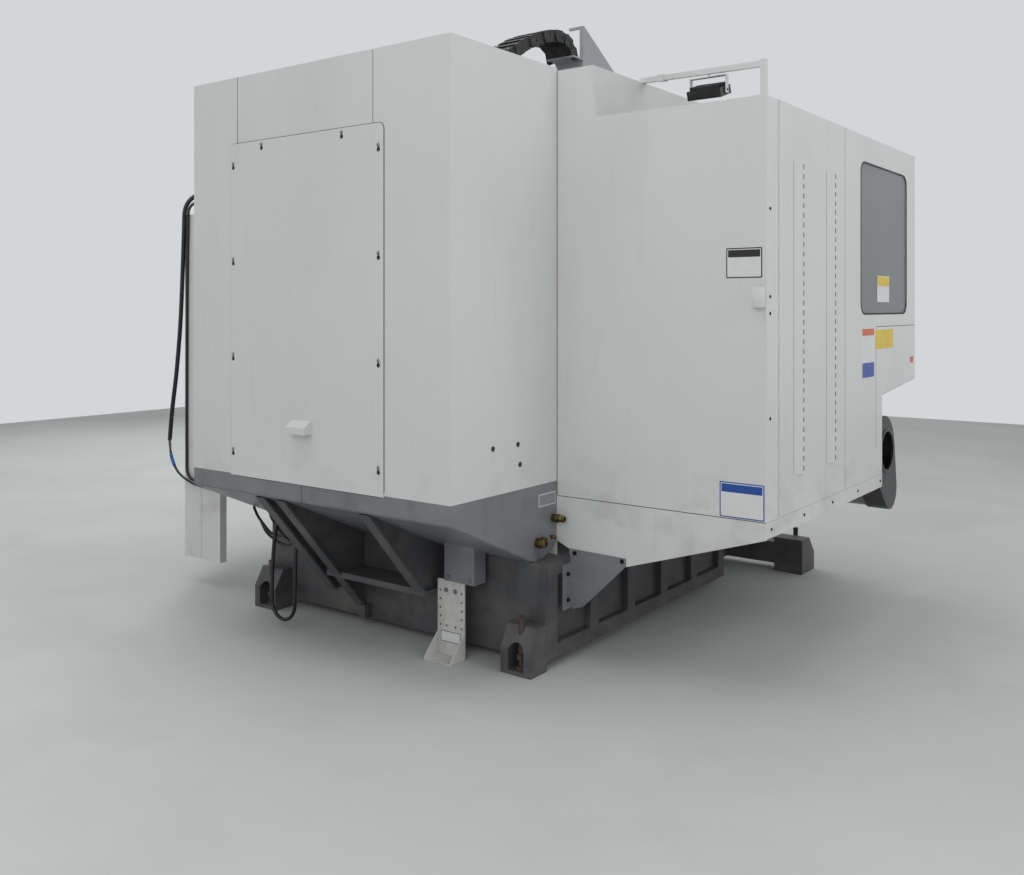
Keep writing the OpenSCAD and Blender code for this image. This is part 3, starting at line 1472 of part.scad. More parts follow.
// One sliding door with its tongues and pull, drawn on the right
module door_leaf() {
  x0 = door_gap;
  x1 = door_w;
  pane_h = door_z1 - door_z0 - 2 * pane_margin - 80;
  pane_w = x1 - x0 - 2 * pane_margin;
  pane_z = (door_z0 + door_z1) / 2 + 20;
  difference() {
    union() {
      block([x0, door_y0, door_z0], [x1, door_y1, door_z1]);
      block([x0, door_y0 + 10, door_z0 - tongue], [x1, door_y1 - 10, door_z0 + 1]);
      block([x0, door_y0 + 10, door_z1 - 1], [x1, door_y1 - 10, door_z1 + tongue]);
    }
    // Hollow of the folded leaf, open at the back
    block([x0 + 20, door_y0 + 4, door_z0 + 20], [x1 - 20, door_y1 + 1, door_z1 - 20]);
    translate([(x0 + x1) / 2, door_y0 + 5, pane_z]) rotate([90, 0, 0]) linear_extrude(8) {
      round_rect(pane_w, pane_h, 40);
    }
  }
  // Pull handle on two posts
  for (z = [1400, 1640]) {
    block([x0 + 40, handle_y + 14, z - 10], [x0 + 58, door_y0 + 0.5, z + 10]);
  }
  block([x0 + 36, handle_y, 1370], [x0 + 62, handle_y + 15, 1670]);
}

// The pane behind the leaf's window, drawn on the right
module door_pane() {
  x0 = door_gap;
  x1 = door_w;
  pane_h = door_z1 - door_z0 - 2 * pane_margin - 80;
  pane_z = (door_z0 + door_z1) / 2 + 20;
  translate([(x0 + x1) / 2, door_y0 + 4 + pane_t, pane_z]) rotate([90, 0, 0]) {
    linear_extrude(pane_t) round_rect(x1 - x0 - 2 * pane_margin + 36, pane_h + 36, 50);
  }
}

module left_door() {
  color(white_paint) mirror([1, 0, 0]) door_leaf();
}

module right_door() {
  color(white_paint) door_leaf();
}

module left_door_window() {
  color(glass_tint, 0.6) mirror([1, 0, 0]) door_pane();
}

module right_door_window() {
  color(glass_tint, 0.6) door_pane();
}

switch_x = door_edge - 56;
switch_z = 1233;

module cabinet_door() {
  color(white_paint) difference() {
    union() {
      difference() {
        block([cabinet_left, shell_rear + 1, cabinet_bottom + 1], [door_edge, cabinet_rear, cabinet_top - 1]);
        block([cabinet_left + 2, shell_rear, cabinet_bottom + 3],
          [door_edge - 2, cabinet_rear - 2, cabinet_top - 3]);
      }
      for (z = hinge_zs) {
        translate([hinge_x, hinge_y, z]) cylinder(r = 8, h = 60);
        block([hinge_x, hinge_y - 3, z], [cabinet_left + 1, hinge_y + 3, z + 60]);
      }
      translate([switch_x, 0, switch_z]) bar_y(16, cabinet_rear - 14, cabinet_rear - 1);
    }
    for (z = hinge_zs) {
      translate([hinge_x, hinge_y, z - 1]) cylinder(r = 4 + run_clear, h = 62);
    }
    translate([switch_x, 0, switch_z]) bar_y(6 + run_clear, cabinet_rear - 20, cabinet_rear + 1);
  }
}

module main_switch() {
  color("#2a2b2d") translate([switch_x, 0, switch_z]) {
    bar_y(6, cabinet_rear - 13, cabinet_rear + 2);
    bar_y(24, cabinet_rear + 0.4, cabinet_rear + 8);
    block([-7, cabinet_rear + 7, -22], [7, cabinet_rear + 22, 22]);
  }
}

base_casting();
levelling_screws();
column();
guide_rails();
axis_motors();
rear_struts();
leg_bracket();
support_leg();
skirt();
housing_corner_panels();
upper_rear_panel();
rear_access_panel();
vent_hood();
rear_walls();
guard_walls();
side_panels();
window_panels();
side_windows();
aprons();
gusset_brackets();
chip_pan();
front_frame();
door_tracks();
cabinet_shell();
cabinet_backplate();
lower_duct();
cables();
lamp_frame();
wall_fittings();
pendant_arm();
chip_chute();
changer_beam();
cable_carrier();
front_bellows();
rear_bellows();
column_bellows();
saddle();
table();
spindle_head();
spindle_motor();
carrier_gusset();
spindle();
y_ball_screw();
z_ball_screw();
x_ball_screw();
left_door();
right_door();
left_door_window();
right_door_window();
cabinet_door();
main_switch();
tool_shuttle();
tool_carousel();
pendant();
emergency_stop();
cycle_start_button();
feed_hold_button();
jog_wheel();
work_lamp();
chip_auger();
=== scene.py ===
"""Looks of a vertical machining centre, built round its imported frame.

Sizes are in millimetres in the frame's own axes: +X the operator's right, -Y the front, +Z up.
"""
import logging
import math
from bisect import bisect_left
from dataclasses import dataclass
from enum import Enum, IntEnum
from itertools import accumulate, product
from typing import Iterable, Sequence

import bmesh
import bpy
from mathutils import Matrix, Vector


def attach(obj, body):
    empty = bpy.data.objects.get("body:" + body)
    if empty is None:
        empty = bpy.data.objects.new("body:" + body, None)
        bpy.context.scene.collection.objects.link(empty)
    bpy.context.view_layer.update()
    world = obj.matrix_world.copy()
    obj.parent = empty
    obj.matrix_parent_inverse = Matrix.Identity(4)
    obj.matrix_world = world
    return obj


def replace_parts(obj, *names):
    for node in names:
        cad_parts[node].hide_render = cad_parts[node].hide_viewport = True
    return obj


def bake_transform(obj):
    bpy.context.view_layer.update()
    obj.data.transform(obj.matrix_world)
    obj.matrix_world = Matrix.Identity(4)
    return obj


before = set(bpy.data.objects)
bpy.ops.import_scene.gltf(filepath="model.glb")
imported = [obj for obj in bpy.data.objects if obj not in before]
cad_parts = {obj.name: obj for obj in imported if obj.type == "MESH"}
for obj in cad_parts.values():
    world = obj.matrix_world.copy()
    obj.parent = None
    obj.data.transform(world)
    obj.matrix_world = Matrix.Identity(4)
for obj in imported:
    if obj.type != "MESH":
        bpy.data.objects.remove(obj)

Point = Sequence[float]
Profile = Sequence[tuple[float, float]]
Points = tuple[Point, ...]
Tree = bpy.types.NodeTree
Socket = bpy.types.NodeSocket
Piece = bpy.types.Object

LOG = logging.getLogger("machining_centre")
MM = 0.001
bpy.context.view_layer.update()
SIDES = (-1, 1)
LEFT, FRONT, REAR, UP = (-1, 0, 0), (0, -1, 0), (0, 1, 0), (0, 0, 1)


def linear(code: str) -> tuple[float, float, float, float]:
    """Turns an sRGB hex colour into a linear one.

    Args:
        code: Colour such as "#d9dbda".

    Returns:
        Linear red, green and blue, and an alpha of 1.
    """
    parts = [int(code[i:i + 2], 16) / 255 for i in (1, 3, 5)]
    red, green, blue = (c / 12.92 if c <= 0.04045 else ((c + 0.055) / 1.055) ** 2.4 for c in parts)
    return (red, green, blue, 1.0)


def add_node(tree: Tree, kind: str, settings: dict | None = None,
             links: dict | None = None) -> bpy.types.Node:
    """Adds a node with its settings and its incoming links.

    Args:
        tree: Tree that gets the node.
        kind: Blender's name of the node type.
        settings: Attributes by name, or socket values by name or number.
        links: Output sockets by the name or number of the input they feed.

    Returns:
        The new node.
    """
    node = tree.nodes.new(kind)
    for key, value in (settings or {}).items():
        if isinstance(key, str) and hasattr(node, key):
            setattr(node, key, value)
        else:
            node.inputs[key].default_value = value
    for key, socket in (links or {}).items():
        tree.links.new(socket, node.inputs[key])
    return node


class Pattern(Enum):
    """How the marks of a layer lie on a surface."""

    CLOUD = "soft blotches"
    FOOT = "blotches that thicken below a height"


@dataclass(frozen=True)
class Layer:
    """Marks of one kind over a finish.

    size_mm is the width of a mark along X, Y and Z; edge is where the noise starts and ends to show;
    heights are the lower and upper height in metres between which a FOOT layer fades.
    """

    colour: str
    amount: float
    size_mm: tuple[float, float, float]
    edge: tuple[float, float] = (0.5, 0.66)
    pattern: Pattern = Pattern.CLOUD
    roughness: float = 0.6
    heights: tuple[float, float] = (0.0, 0.5)
    seed: float = 0.0


@dataclass(frozen=True)
class Finish:
    """A surface: its base colour, gloss and relief, and the layers of wear on it.

    The IOR stays at the shader's own 1.5, which fits enamel, plastics and glass.
    """

    name: str
    colour: str
    roughness: float
    metallic: float = 0.0
    tone: float = 0.04
    tone_mm: float = 260.0
    layers: tuple[Layer, ...] = ()
    relief_mm: tuple[float, float, float] = (4.0, 4.0, 4.0)
    relief: float = 0.0
    coat: float = 0.0
    alpha: float = 1.0
    sheen: float = 0.0

    # Shift of a pattern per unit of its seed, and the seeds of the tone and of the relief.
    STEP = (7.3, 3.1, 5.7)
    TONE_SEED = 0.4
    RELIEF_SEED = 2.9

    def material(self) -> bpy.types.Material:
        """Returns the material of this finish, built on first use."""
        found = bpy.data.materials.get(self.name)
        return found if found and found.get("built") else self._build()

    def _noise(self, tree: Tree, coords: Socket, size_mm: Point, seed: float, detail: float = 4.0) -> Socket:
        """Adds noise whose features have the given width.

        Args:
            tree: Material tree.
            coords: Vector in metres.
            size_mm: Width of one feature along each axis.
            seed: Shift of the pattern, so that layers differ.
            detail: Octaves of the noise.

        Returns:
            The noise value, about 0.5 on average.
        """
        moved = add_node(tree, "ShaderNodeMapping",
                         {"Scale": [1000.0 / s for s in size_mm], "Location": [seed * s for s in self.STEP]},
                         {"Vector": coords})
        return add_node(tree, "ShaderNodeTexNoise", {"Scale": 1.0, "Detail": detail, "Roughness": 0.55},
                        {"Vector": moved.outputs[0]}).outputs[0]

    def _factor(self, tree: Tree, coords: Socket, layer: Layer) -> Socket:
        """Adds the mask of a layer.

        Args:
            tree: Material tree.
            coords: Vector in metres.
            layer: Layer that the mask is for.

        Returns:
            The share of the layer at each point.
        """
        value = self._noise(tree, coords, layer.size_mm, layer.seed + 1.7)
        mask = add_node(tree, "ShaderNodeMapRange",
                        {"From Min": layer.edge[0], "From Max": layer.edge[1], "To Max": layer.amount},
                        {0: value}).outputs[0]
        if layer.pattern is Pattern.FOOT:
            height = add_node(tree, "ShaderNodeSeparateXYZ", links={0: coords}).outputs["Z"]
            fade = add_node(tree, "ShaderNodeMapRange",
                            {"From Min": layer.heights[0], "From Max": layer.heights[1], "To Min": 1.0,
                             "To Max": 0.0}, {0: height}).outputs[0]
            mask = add_node(tree, "ShaderNodeMath", {"operation": "MULTIPLY"}, {0: mask, 1: fade}).outputs[0]
        return mask

    def _build(self) -> bpy.types.Material:
        """Builds the node tree of this finish.

        Returns:
            The new material.
        """
        material = bpy.data.materials.new(self.name)
        material.use_nodes = True
        tree = material.node_tree
        tree.nodes.clear()
        coords = add_node(tree, "ShaderNodeTexCoord").outputs["Object"]
        base = linear(self.colour)
        shade = tuple(c * (1 - self.tone) for c in base[:3]) + (1.0,)
        cloud = self._noise(tree, coords, (self.tone_mm,) * 3, self.TONE_SEED)
        share = add_node(tree, "ShaderNodeMapRange", {"From Min": 0.35, "From Max": 0.65},
                         {0: cloud}).outputs[0]
        rough = add_node(tree, "ShaderNodeMapRange",
                         {"From Min": 0.3, "From Max": 0.7, "To Min": self.roughness * 0.88,
                          "To Max": self.roughness * 1.12}, {0: cloud}).outputs[0]
        # A Mix node takes its share at socket 0, two numbers at 2 and 3, and two colours at 6 and 7.
        colour = add_node(tree, "ShaderNodeMix", {"data_type": "RGBA", 6: base, 7: shade},
                          {0: share}).outputs[2]
        for layer in self.layers:
            mask = self._factor(tree, coords, layer)
            colour = add_node(tree, "ShaderNodeMix", {"data_type": "RGBA", 7: linear(layer.colour)},
                              {0: mask, 6: colour}).outputs[2]
            rough = add_node(tree, "ShaderNodeMix", {"data_type": "FLOAT", 3: layer.roughness},
                             {0: mask, 2: rough}).outputs[0]
        shader = add_node(tree, "ShaderNodeBsdfPrincipled",
                          {"Metallic": self.metallic, "Coat Weight": self.coat, "Alpha": self.alpha,
                           "Sheen Weight": self.sheen}, {"Base Color": colour, "Roughness": rough})
        if self.relief:
            grain = self._noise(tree, coords, self.relief_mm, self.RELIEF_SEED, 2.0)
            bump = add_node(tree, "ShaderNodeBump", {"Strength": self.relief, "Distance": MM},
                            {"Height": grain})
            tree.links.new(bump.outputs[0], shader.inputs["Normal"])
        add_node(tree, "ShaderNodeOutputMaterial", links={0: shader.outputs[0]})
        material["built"] = True
        return material


class Paint:
    """Painted, coated and printed finishes."""

    # Stove enamel on sheet steel: smooth and even with a soft sheen; the fine orange peel is drawn
    # 4 mm wide, coarser than the real one, so that it shows. Thin grey grime and wiped oil on it.
    WHITE = Finish("stove_enamel_white", "#d9dbda", 0.34, tone=0.035, tone_mm=700,
                   layers=(Layer("#b9b7b0", 0.16, (420, 420, 1300), (0.5, 0.72), seed=1, roughness=0.5),
                           Layer("#a9a69d", 0.10, (40, 40, 300), (0.62, 0.74), seed=2, roughness=0.55),
                           Layer("#8d897f", 0.30, (160, 160, 120), (0.5, 0.72), Pattern.FOOT, 0.6,
                                 (0.62, 0.85), 3)),
                   relief=0.05, coat=0.15)
    # The same enamel on parts near the floor, scuffed and dusty.
    WHITE_WORN = Finish("stove_enamel_white_worn", "#cfd0cd", 0.42, tone=0.08, tone_mm=120,
                        layers=(Layer("#8f8b82", 0.45, (60, 60, 140), (0.5, 0.7), seed=4),
                                Layer("#4c4a47", 0.75, (9, 9, 14), (0.66, 0.72), seed=5, roughness=0.7)),
                        relief=0.08)
    # Semi-gloss machine enamel in mid grey over folded sheet, with rubbed and dusty places.
    GREY = Finish("machine_enamel_grey", "#7a7c81", 0.38, tone=0.07, tone_mm=300,
                  layers=(Layer("#8f9193", 0.35, (220, 220, 90), (0.52, 0.74), seed=6, roughness=0.55),
                          Layer("#4e4f52", 0.35, (90, 90, 260), (0.55, 0.75), seed=7, roughness=0.3),
                          Layer("#a7a8a6", 0.7, (7, 7, 26), (0.71, 0.75), seed=8)),
                  relief=0.06, coat=0.1)
    # Thick two-part paint on cast iron: the sand grain of the casting shows through, oil runs, chips
    # down to primer and rust, dust that lies on it towards the floor.
    CAST = Finish("casting_paint_dark", "#4d4e51", 0.5, tone=0.16, tone_mm=240,
                  layers=(Layer("#6d6a64", 0.55, (300, 300, 160), (0.48, 0.7), seed=9, roughness=0.7),
                          Layer("#2a2a2b", 0.6, (110, 110, 420), (0.54, 0.72), seed=10, roughness=0.25),
                          Layer("#7a5a42", 0.6, (14, 14, 18), (0.67, 0.72), seed=11, roughness=0.8),
                          Layer("#77736b", 0.4, (120, 120, 60), (0.42, 0.7), Pattern.FOOT, 0.8,
                                (0.0, 0.3), 12)),
                  relief_mm=(9, 9, 9), relief=0.35)
    # The lighter grey of the upper castings, same paint and sand grain, cleaner.
    CAST_LIGHT = Finish("casting_paint_light", "#8d9092", 0.42, tone=0.08, tone_mm=260,
                        layers=(Layer("#5f6163", 0.4, (160, 160, 300), (0.55, 0.75), seed=13,
                                      roughness=0.3),),
                        relief_mm=(9, 9, 9), relief=0.25, coat=0.1)
    # Enamel of the spindle head, sprayed over filled and sanded iron: off-white, glossy, faintly stained.
    HEAD = Finish("filled_enamel_offwhite", "#cfd1cf", 0.3, tone=0.04, tone_mm=200,
                  layers=(Layer("#a39f96", 0.25, (120, 120, 240), (0.56, 0.74), seed=14, roughness=0.4),),
                  relief_mm=(6, 6, 6), relief=0.08, coat=0.2)
    # Machine enamel in light grey on small welded plates: even, with darker streaks down them.
    GREY_PALE = Finish("machine_enamel_light_grey", "#a4a7ac", 0.38, tone=0.05, tone_mm=260,
                       layers=(Layer("#7c7e82", 0.3, (60, 60, 200), (0.56, 0.75), seed=16, roughness=0.3),),
                       relief=0.06, coat=0.1)
    # Dark enamel on welded sheet that chips have rubbed: lighter scratches 90 mm long, dust below.
    DARK = Finish("machine_enamel_dark", "#38393c", 0.42, tone=0.1, tone_mm=140,
                  layers=(Layer("#6a6966", 0.35, (14, 90, 14), (0.6, 0.7), seed=17, roughness=0.5),
                          Layer("#7d796f", 0.4, (90, 90, 60), (0.48, 0.72), Pattern.FOOT, 0.75,
                                (0.3, 0.8), 18)),
                  relief=0.08)
    # Black enamel on ribbed cast aluminium: glossy, greyed by dust in places.
    BLACK = Finish("ribbed_housing_enamel_black", "#222326", 0.32, tone=0.15, tone_mm=90,
                   layers=(Layer("#55534e", 0.3, (80, 80, 50), (0.55, 0.75), seed=15, roughness=0.7),),
                   relief_mm=(5, 5, 5), relief=0.1)
    # Printed vinyl films: flat and slightly glossy, their colour a little uneven from wiping.
    VINYL_WHITE = Finish("vinyl_film_white", "#e0e2e2", 0.36, tone=0.05, tone_mm=40)
    VINYL_BLUE = Finish("vinyl_film_blue", "#1d4da3", 0.36, tone=0.08, tone_mm=40)
    VINYL_BLACK = Finish("vinyl_film_black", "#1e1e1f", 0.36, tone=0.1, tone_mm=40)
    VINYL_YELLOW = Finish("vinyl_film_yellow", "#e3c42c", 0.36, tone=0.06, tone_mm=40)
    VINYL_ORANGE = Finish("vinyl_film_orange", "#d0672a", 0.36, tone=0.06, tone_mm=40)
    VINYL_GREY = Finish("vinyl_film_grey", "#8c8f93", 0.4, tone=0.08, tone_mm=30)
    # Creped paper tape: matt blue with small wrinkles 2 mm apart.
    BLUE_TAPE = Finish("crepe_tape_blue", "#2f6fb5", 0.7, tone=0.12, tone_mm=12, relief_mm=(2, 2, 2),
                       relief=0.3)


class Metal:
    """Bare metals."""

    # Zinc-plated screws: bright, with darker oily patches.
    SCREW = Finish("zinc_plated_steel", "#8f9296", 0.3, metallic=1.0, tone=0.25, tone_mm=6)
    # Blackened screws: dark, dull and a little uneven from wear.
    BLACK_SCREW = Finish("black_oxide_steel", "#2b2c2e", 0.42, metallic=1.0, tone=0.25, tone_mm=6)
    # Ground and hardened: bright, even, with fine lines along X drawn 2 mm apart so that they show.
    GROUND = Finish("ground_steel", "#b9bcbf", 0.22, metallic=1.0, tone=0.12, tone_mm=60,
                    relief_mm=(90, 2, 2), relief=0.05)
    # Milled cast iron: cutter lines 3 mm apart that catch the light, brown coolant stains.
    MILLED = Finish("milled_cast_iron", "#8c8f91", 0.36, metallic=1.0, tone=0.2, tone_mm=80,
                    layers=(Layer("#5c5447", 0.3, (60, 60, 60), (0.58, 0.72), seed=20, roughness=0.5),),
                    relief_mm=(60, 3, 3), relief=0.08)
    # Galvanised trough sheet under coolant: grey spangle, water marks.
    PAN = Finish("galvanised_sheet", "#9a9d9f", 0.42, metallic=1.0, tone=0.2, tone_mm=30,
                 layers=(Layer("#6f6a5e", 0.4, (160, 160, 90), (0.52, 0.72), seed=21),))
    # Turned brass gone brown under oil, bright in places.
    BRASS = Finish("tarnished_turned_brass", "#84714a", 0.42, metallic=1.0, tone=0.3, tone_mm=9,
                   layers=(Layer("#332d24", 0.75, (11, 11, 11), (0.44, 0.62), seed=22),))
    # Levelling screws: steel under brown rust, matt, with flakes 4 mm wide.
    RUSTY = Finish("rusted_forged_steel", "#4c423a", 0.72, tone=0.3, tone_mm=12,
                   layers=(Layer("#6b4d37", 0.5, (8, 8, 8), (0.54, 0.7), seed=23, roughness=0.85),
                           Layer("#2e2a28", 0.6, (14, 14, 30), (0.56, 0.7), seed=24, roughness=0.5)),
                   relief=0.4)
    # Satin anodised extrusion: cool, even and soft in its highlights.
    ALUMINIUM = Finish("anodised_aluminium", "#9da0a2", 0.44, metallic=1.0, tone=0.08, tone_mm=40)


class Soft:
    """Rubber, plastic, fabric and glass."""

    # PVC-coated polyester of the way covers: matt black with a fine leathery grain.
    BELLOWS = Finish("coated_bellows_fabric", "#202123", 0.55, tone=0.2, tone_mm=60,
                     layers=(Layer("#6b6962", 0.35, (60, 60, 14), (0.5, 0.72), seed=30, roughness=0.8),),
                     relief_mm=(3, 3, 3), relief=0.25, sheen=0.1)
    # Extruded seal rubber: matt black with grey bloom. The same finish gives the dark strips of painted shade
    # in slits, slots, keyholes and the gaps between sheets.
    RUBBER_AND_SHADE = Finish("extruded_rubber_and_painted_shade_black", "#17181a", 0.6, tone=0.2, tone_mm=30,
                    layers=(Layer("#56544f", 0.2, (50, 50, 50), (0.55, 0.72), seed=31, roughness=0.8),))
    # PVC sheath of the conduits: black, dusty in places, with a faint grain drawn 4 mm wide.
    SHEATH = Finish("pvc_sheath_black", "#141517", 0.45, tone=0.2, tone_mm=25,
                    layers=(Layer("#5a5750", 0.3, (20, 20, 30), (0.54, 0.72), seed=32, roughness=0.8),),
                    relief=0.15)
    # Glass-filled nylon of the cable carrier links: dull black with grey dust in patches.
    NYLON = Finish("glass_filled_nylon", "#1a1b1c", 0.5, tone=0.25, tone_mm=18,
                   layers=(Layer("#77736a", 0.35, (30, 30, 18), (0.52, 0.74), seed=33, roughness=0.85),),
                   relief_mm=(2, 2, 2), relief=0.15)
    # Laminated safety glass with a film against glare: grey, see-through, a little smeared.
    GLASS = Finish("laminated_grey_glass", "#7c8387", 0.06, tone=0.05, tone_mm=300,
                   layers=(Layer("#b9bab5", 0.12, (120, 120, 260), (0.5, 0.75), seed=34, roughness=0.35),),
                   alpha=0.62)
    # Moulded housings with a spark-eroded grain of 1.5 mm, and smooth caps.
    ABS = Finish("moulded_abs_grey", "#c9cbc8", 0.45, tone=0.04, tone_mm=120, relief_mm=(1.5, 1.5, 1.5),
                 relief=0.12)
    KEYCAP = Finish("keycap_abs_light", "#e2e2dd", 0.4, tone=0.05, tone_mm=10)
    KEY_BLUE = Finish("keycap_abs_blue", "#3a5f93", 0.4, tone=0.05, tone_mm=10)
    # Coated display glass, dark while the machine is off.
    SCREEN = Finish("screen_glass_dark", "#101418", 0.08, tone=0.2, tone_mm=120, coat=0.5)
    BLACK_ABS = Finish("moulded_abs_black", "#1e1f21", 0.42, tone=0.12, tone_mm=20,
                       relief_mm=(1.5, 1.5, 1.5), relief=0.12)
    # Moulded nylon buttons: full colour with a clear shine.
    RED = Finish("moulded_nylon_red", "#b3241c", 0.3, tone=0.08, tone_mm=15, coat=0.2)
    GREEN = Finish("moulded_nylon_green", "#2c8a3f", 0.3, tone=0.08, tone_mm=10, coat=0.2)
    YELLOW = Finish("moulded_nylon_yellow", "#d8a91e", 0.3, tone=0.08, tone_mm=10, coat=0.2)
    # Frosted lens: pale, with a wide soft highlight.
    LENS = Finish("lamp_lens_frosted", "#dfe3e4", 0.5, tone=0.05, tone_mm=20)
    # Insulation of single wires: plain colours with a soft shine.
    WIRE_GREEN = Finish("pvc_wire_green", "#2c7a45", 0.4, tone=0.1, tone_mm=20)
    WIRE_RED = Finish("pvc_wire_red", "#a82a22", 0.4, tone=0.1, tone_mm=20)
    WIRE_WHITE = Finish("pvc_wire_white", "#d3d2cb", 0.4, tone=0.1, tone_mm=20)


class Shape:
    """A mesh in the making: corners in millimetres, faces, and the finish of each face."""

    def __init__(self) -> None:
        """Starts with no faces."""
        self.corners: list[Vector] = []
        self.faces: list[tuple[int, ...]] = []
        self.kinds: list[int] = []

    def add(self, corners: Iterable[Point], faces: Iterable[Sequence[int]], kind: int = 0) -> None:
        """Adds faces.

        Args:
            corners: Points in millimetres.
            faces: Corner numbers of each face.
            kind: Number of the finish.
        """
        start = len(self.corners)
        self.corners += [Vector(c) for c in corners]
        for face in faces:
            self.faces.append(tuple(start + i for i in face))
            self.kinds.append(kind)

    def lofted(self, rings: Sequence[Sequence[Point]], kind: int = 0, closed: bool = False) -> None:
        """Adds a skin over rings of equal count, with caps at both ends unless it closes on itself.

        Args:
            rings: Rings of points in order.
            kind: Number of the finish.
            closed: True if the last ring joins the first.
        """
        n, m = len(rings[0]), len(rings)
        faces = [(i * n + k, i * n + (k + 1) % n, (i + 1) % m * n + (k + 1) % n, (i + 1) % m * n + k)
                 for i in range(m if closed else m - 1) for k in range(n)]
        if not closed:
            faces += [tuple(range(n))[::-1], tuple((m - 1) * n + k for k in range(n))]
        self.add([p for ring in rings for p in ring], faces, kind)

    def slab(self, corner: Point, along: Point, up: Point, lift: Point, kind: int = 0,
             round_mm: float = 0.0) -> None:
        """Adds a plate with optional round corners.

        Args:
            corner: One corner of its lower face.
            along: First edge of that face.
            up: Second edge of that face.
            lift: Thickness, as a vector.
            kind: Number of the finish.
            round_mm: Radius of the corners of the face.
        """
        a, e, u, t = (Vector(v) for v in (corner, along, up, lift))
        ring = [a, a + e, a + e + u, a + u]
        if round_mm:
            x, y = e.normalized() * round_mm, u.normalized() * round_mm
            middles = [(a + x + y, 180), (a + e - x + y, 270), (a + e + u - x - y, 0), (a + u + x - y, 90)]
            ring = [m + x * math.cos(math.radians(w + s)) + y * math.sin(math.radians(w + s))
                    for m, w in middles for s in (0, 22.5, 45, 67.5, 90)]
        self.lofted([ring, [p + t for p in ring]], kind)

    def plate(self, corner: Point, wide: float, tall: float, thick: float, kind: int = 0,
              round_mm: float = 0.0) -> None:
        """Adds a plate that is wide along X, tall along Z and thick along Y."""
        self.slab(corner, (wide, 0, 0), (0, 0, tall), (0, thick, 0), kind, round_mm)

    def frame_ring(self, corner: Point, along: Point, up: Point, lift: Point, width: float,
                   round_mm: float) -> None:
        """Adds a flat ring that runs outside a rounded rectangle.

        Args:
            corner: Lower corner of the opening.
            along: First edge of the opening.
            up: Second edge of the opening.
            lift: Thickness, as a vector.
            width: Width of the ring's face.
            round_mm: Corner radius of the opening.
        """
        a, e, u, t = (Vector(v) for v in (corner, along, up, lift))
        x, y = e.normalized(), u.normalized()
        centres = [(a + (x + y) * round_mm, 180), (a + e + (y - x) * round_mm, 270),
                   (a + e + u - (x + y) * round_mm, 0), (a + u + (x - y) * round_mm, 90)]

        def ring(radius: float, high: Vector) -> list[Vector]:
            """Returns the outline at that corner radius."""
            turns = [(c + high, math.radians(w + s)) for c, w in centres for s in (0, 18, 36, 54, 72, 90)]
            return [c + (x * math.cos(w) + y * math.sin(w)) * radius for c, w in turns]

        flat, outer = Vector((0, 0, 0)), round_mm + width
        self.lofted([ring(round_mm, flat), ring(round_mm, t), ring(outer, t), ring(outer, flat)], closed=True)

    def rim(self, corner: Point, wide: float, tall: float, thick: float, width: float,
            round_mm: float) -> None:
        """Adds a flat ring round an opening that is wide along X and tall along Z, thick along Y."""
        self.frame_ring(corner, (wide, 0, 0), (0, 0, tall), (0, thick, 0), width, round_mm)

    def turned(self, start: Point, axis: Point, profile: Profile, sides: int = 24, kind: int = 0,
               turn: float = 0.0, hollow: bool = False) -> None:
        """Adds a turned body.

        Args:
            start: Point on the axis.
            axis: Direction of the axis.
            profile: Distance along the axis and radius, in order.
            sides: Faces round the axis.
            kind: Number of the finish.
            turn: Angle of the first corner in degrees.
            hollow: True if the profile closes on itself and leaves a bore.
        """
        a, w = Vector(start), Vector(axis).normalized()
        u = w.orthogonal().normalized()
        if abs(w.z) < 0.9:
            u = Vector(UP).cross(w).normalized()
        v = w.cross(u)
        angles = [math.radians(turn + 360 * k / sides) for k in range(sides)]
        self.lofted([[a + w * d + (u * math.cos(q) + v * math.sin(q)) * r for q in angles]
                     for d, r in profile], kind, hollow)

    def tube(self, path: Sequence[Point], radius: float, sides: int = 12, kind: int = 0) -> None:
        """Adds a round tube along a path.

        Args:
            path: Points of the centre line.
            radius: Radius of the tube.
            sides: Faces round it.
            kind: Number of the finish.
        """
        points = [Vector(p) for p in path]
        ends = zip(points[:1] + points[:-1], points[1:] + points[-1:])
        heads = [(b - a).normalized() for a, b in ends]
        side = heads[0].orthogonal().normalized()
        angles = [2 * math.pi * k / sides for k in range(sides)]
        rings = []
        for p, t in zip(points, heads):
            side = (side - t * side.dot(t)).normalized()
            other = t.cross(side)
            rings.append([p + (side * math.cos(q) + other * math.sin(q)) * radius for q in angles])
        self.lofted(rings, kind)

    def made(self, name: str, finishes: Sequence[Finish], soften: float = 0.0, smooth: bool = True) -> Piece:
        """Turns the faces into an object at the origin.

        Args:
            name: Name of the piece.
            finishes: Finishes in the order of their numbers.
            soften: Width in millimetres of the bevel on sharp edges.
            smooth: True to shade smooth up to 35 degrees.

        Returns:
            The new object.
        """
        mesh = bpy.data.meshes.new(name)
        mesh.from_pydata([c * MM for c in self.corners], [], self.faces)
        for finish in finishes:
            mesh.materials.append(finish.material())
        mesh.polygons.foreach_set("material_index", self.kinds)
        work = bmesh.new()
        work.from_mesh(mesh)
        bmesh.ops.recalc_face_normals(work, faces=work.faces)
        if soften:
            sharp = [e for e in work.edges if len(e.link_faces) == 2 and e.calc_face_angle(0) > 0.6]
            bmesh.ops.bevel(work, geom=sharp, offset=soften * MM, segments=2, profile=0.5, affect="EDGES",
                            clamp_overlap=True)
        work.to_mesh(mesh)
        work.free()
        if smooth:
            mesh.shade_smooth()
            mesh.set_sharp_from_angle(angle=math.radians(35))
        piece = bpy.data.objects.new(name, mesh)
        bpy.context.scene.collection.objects.link(piece)
        return piece

    def put(self, name: str, body: str, slot: str, *finishes: Finish, soften: float = 0.0,
            smooth: bool = True) -> Piece:
        """Makes the piece and lets it ride on a body."""
        return ride(self.made(name, finishes, soften, smooth), body)


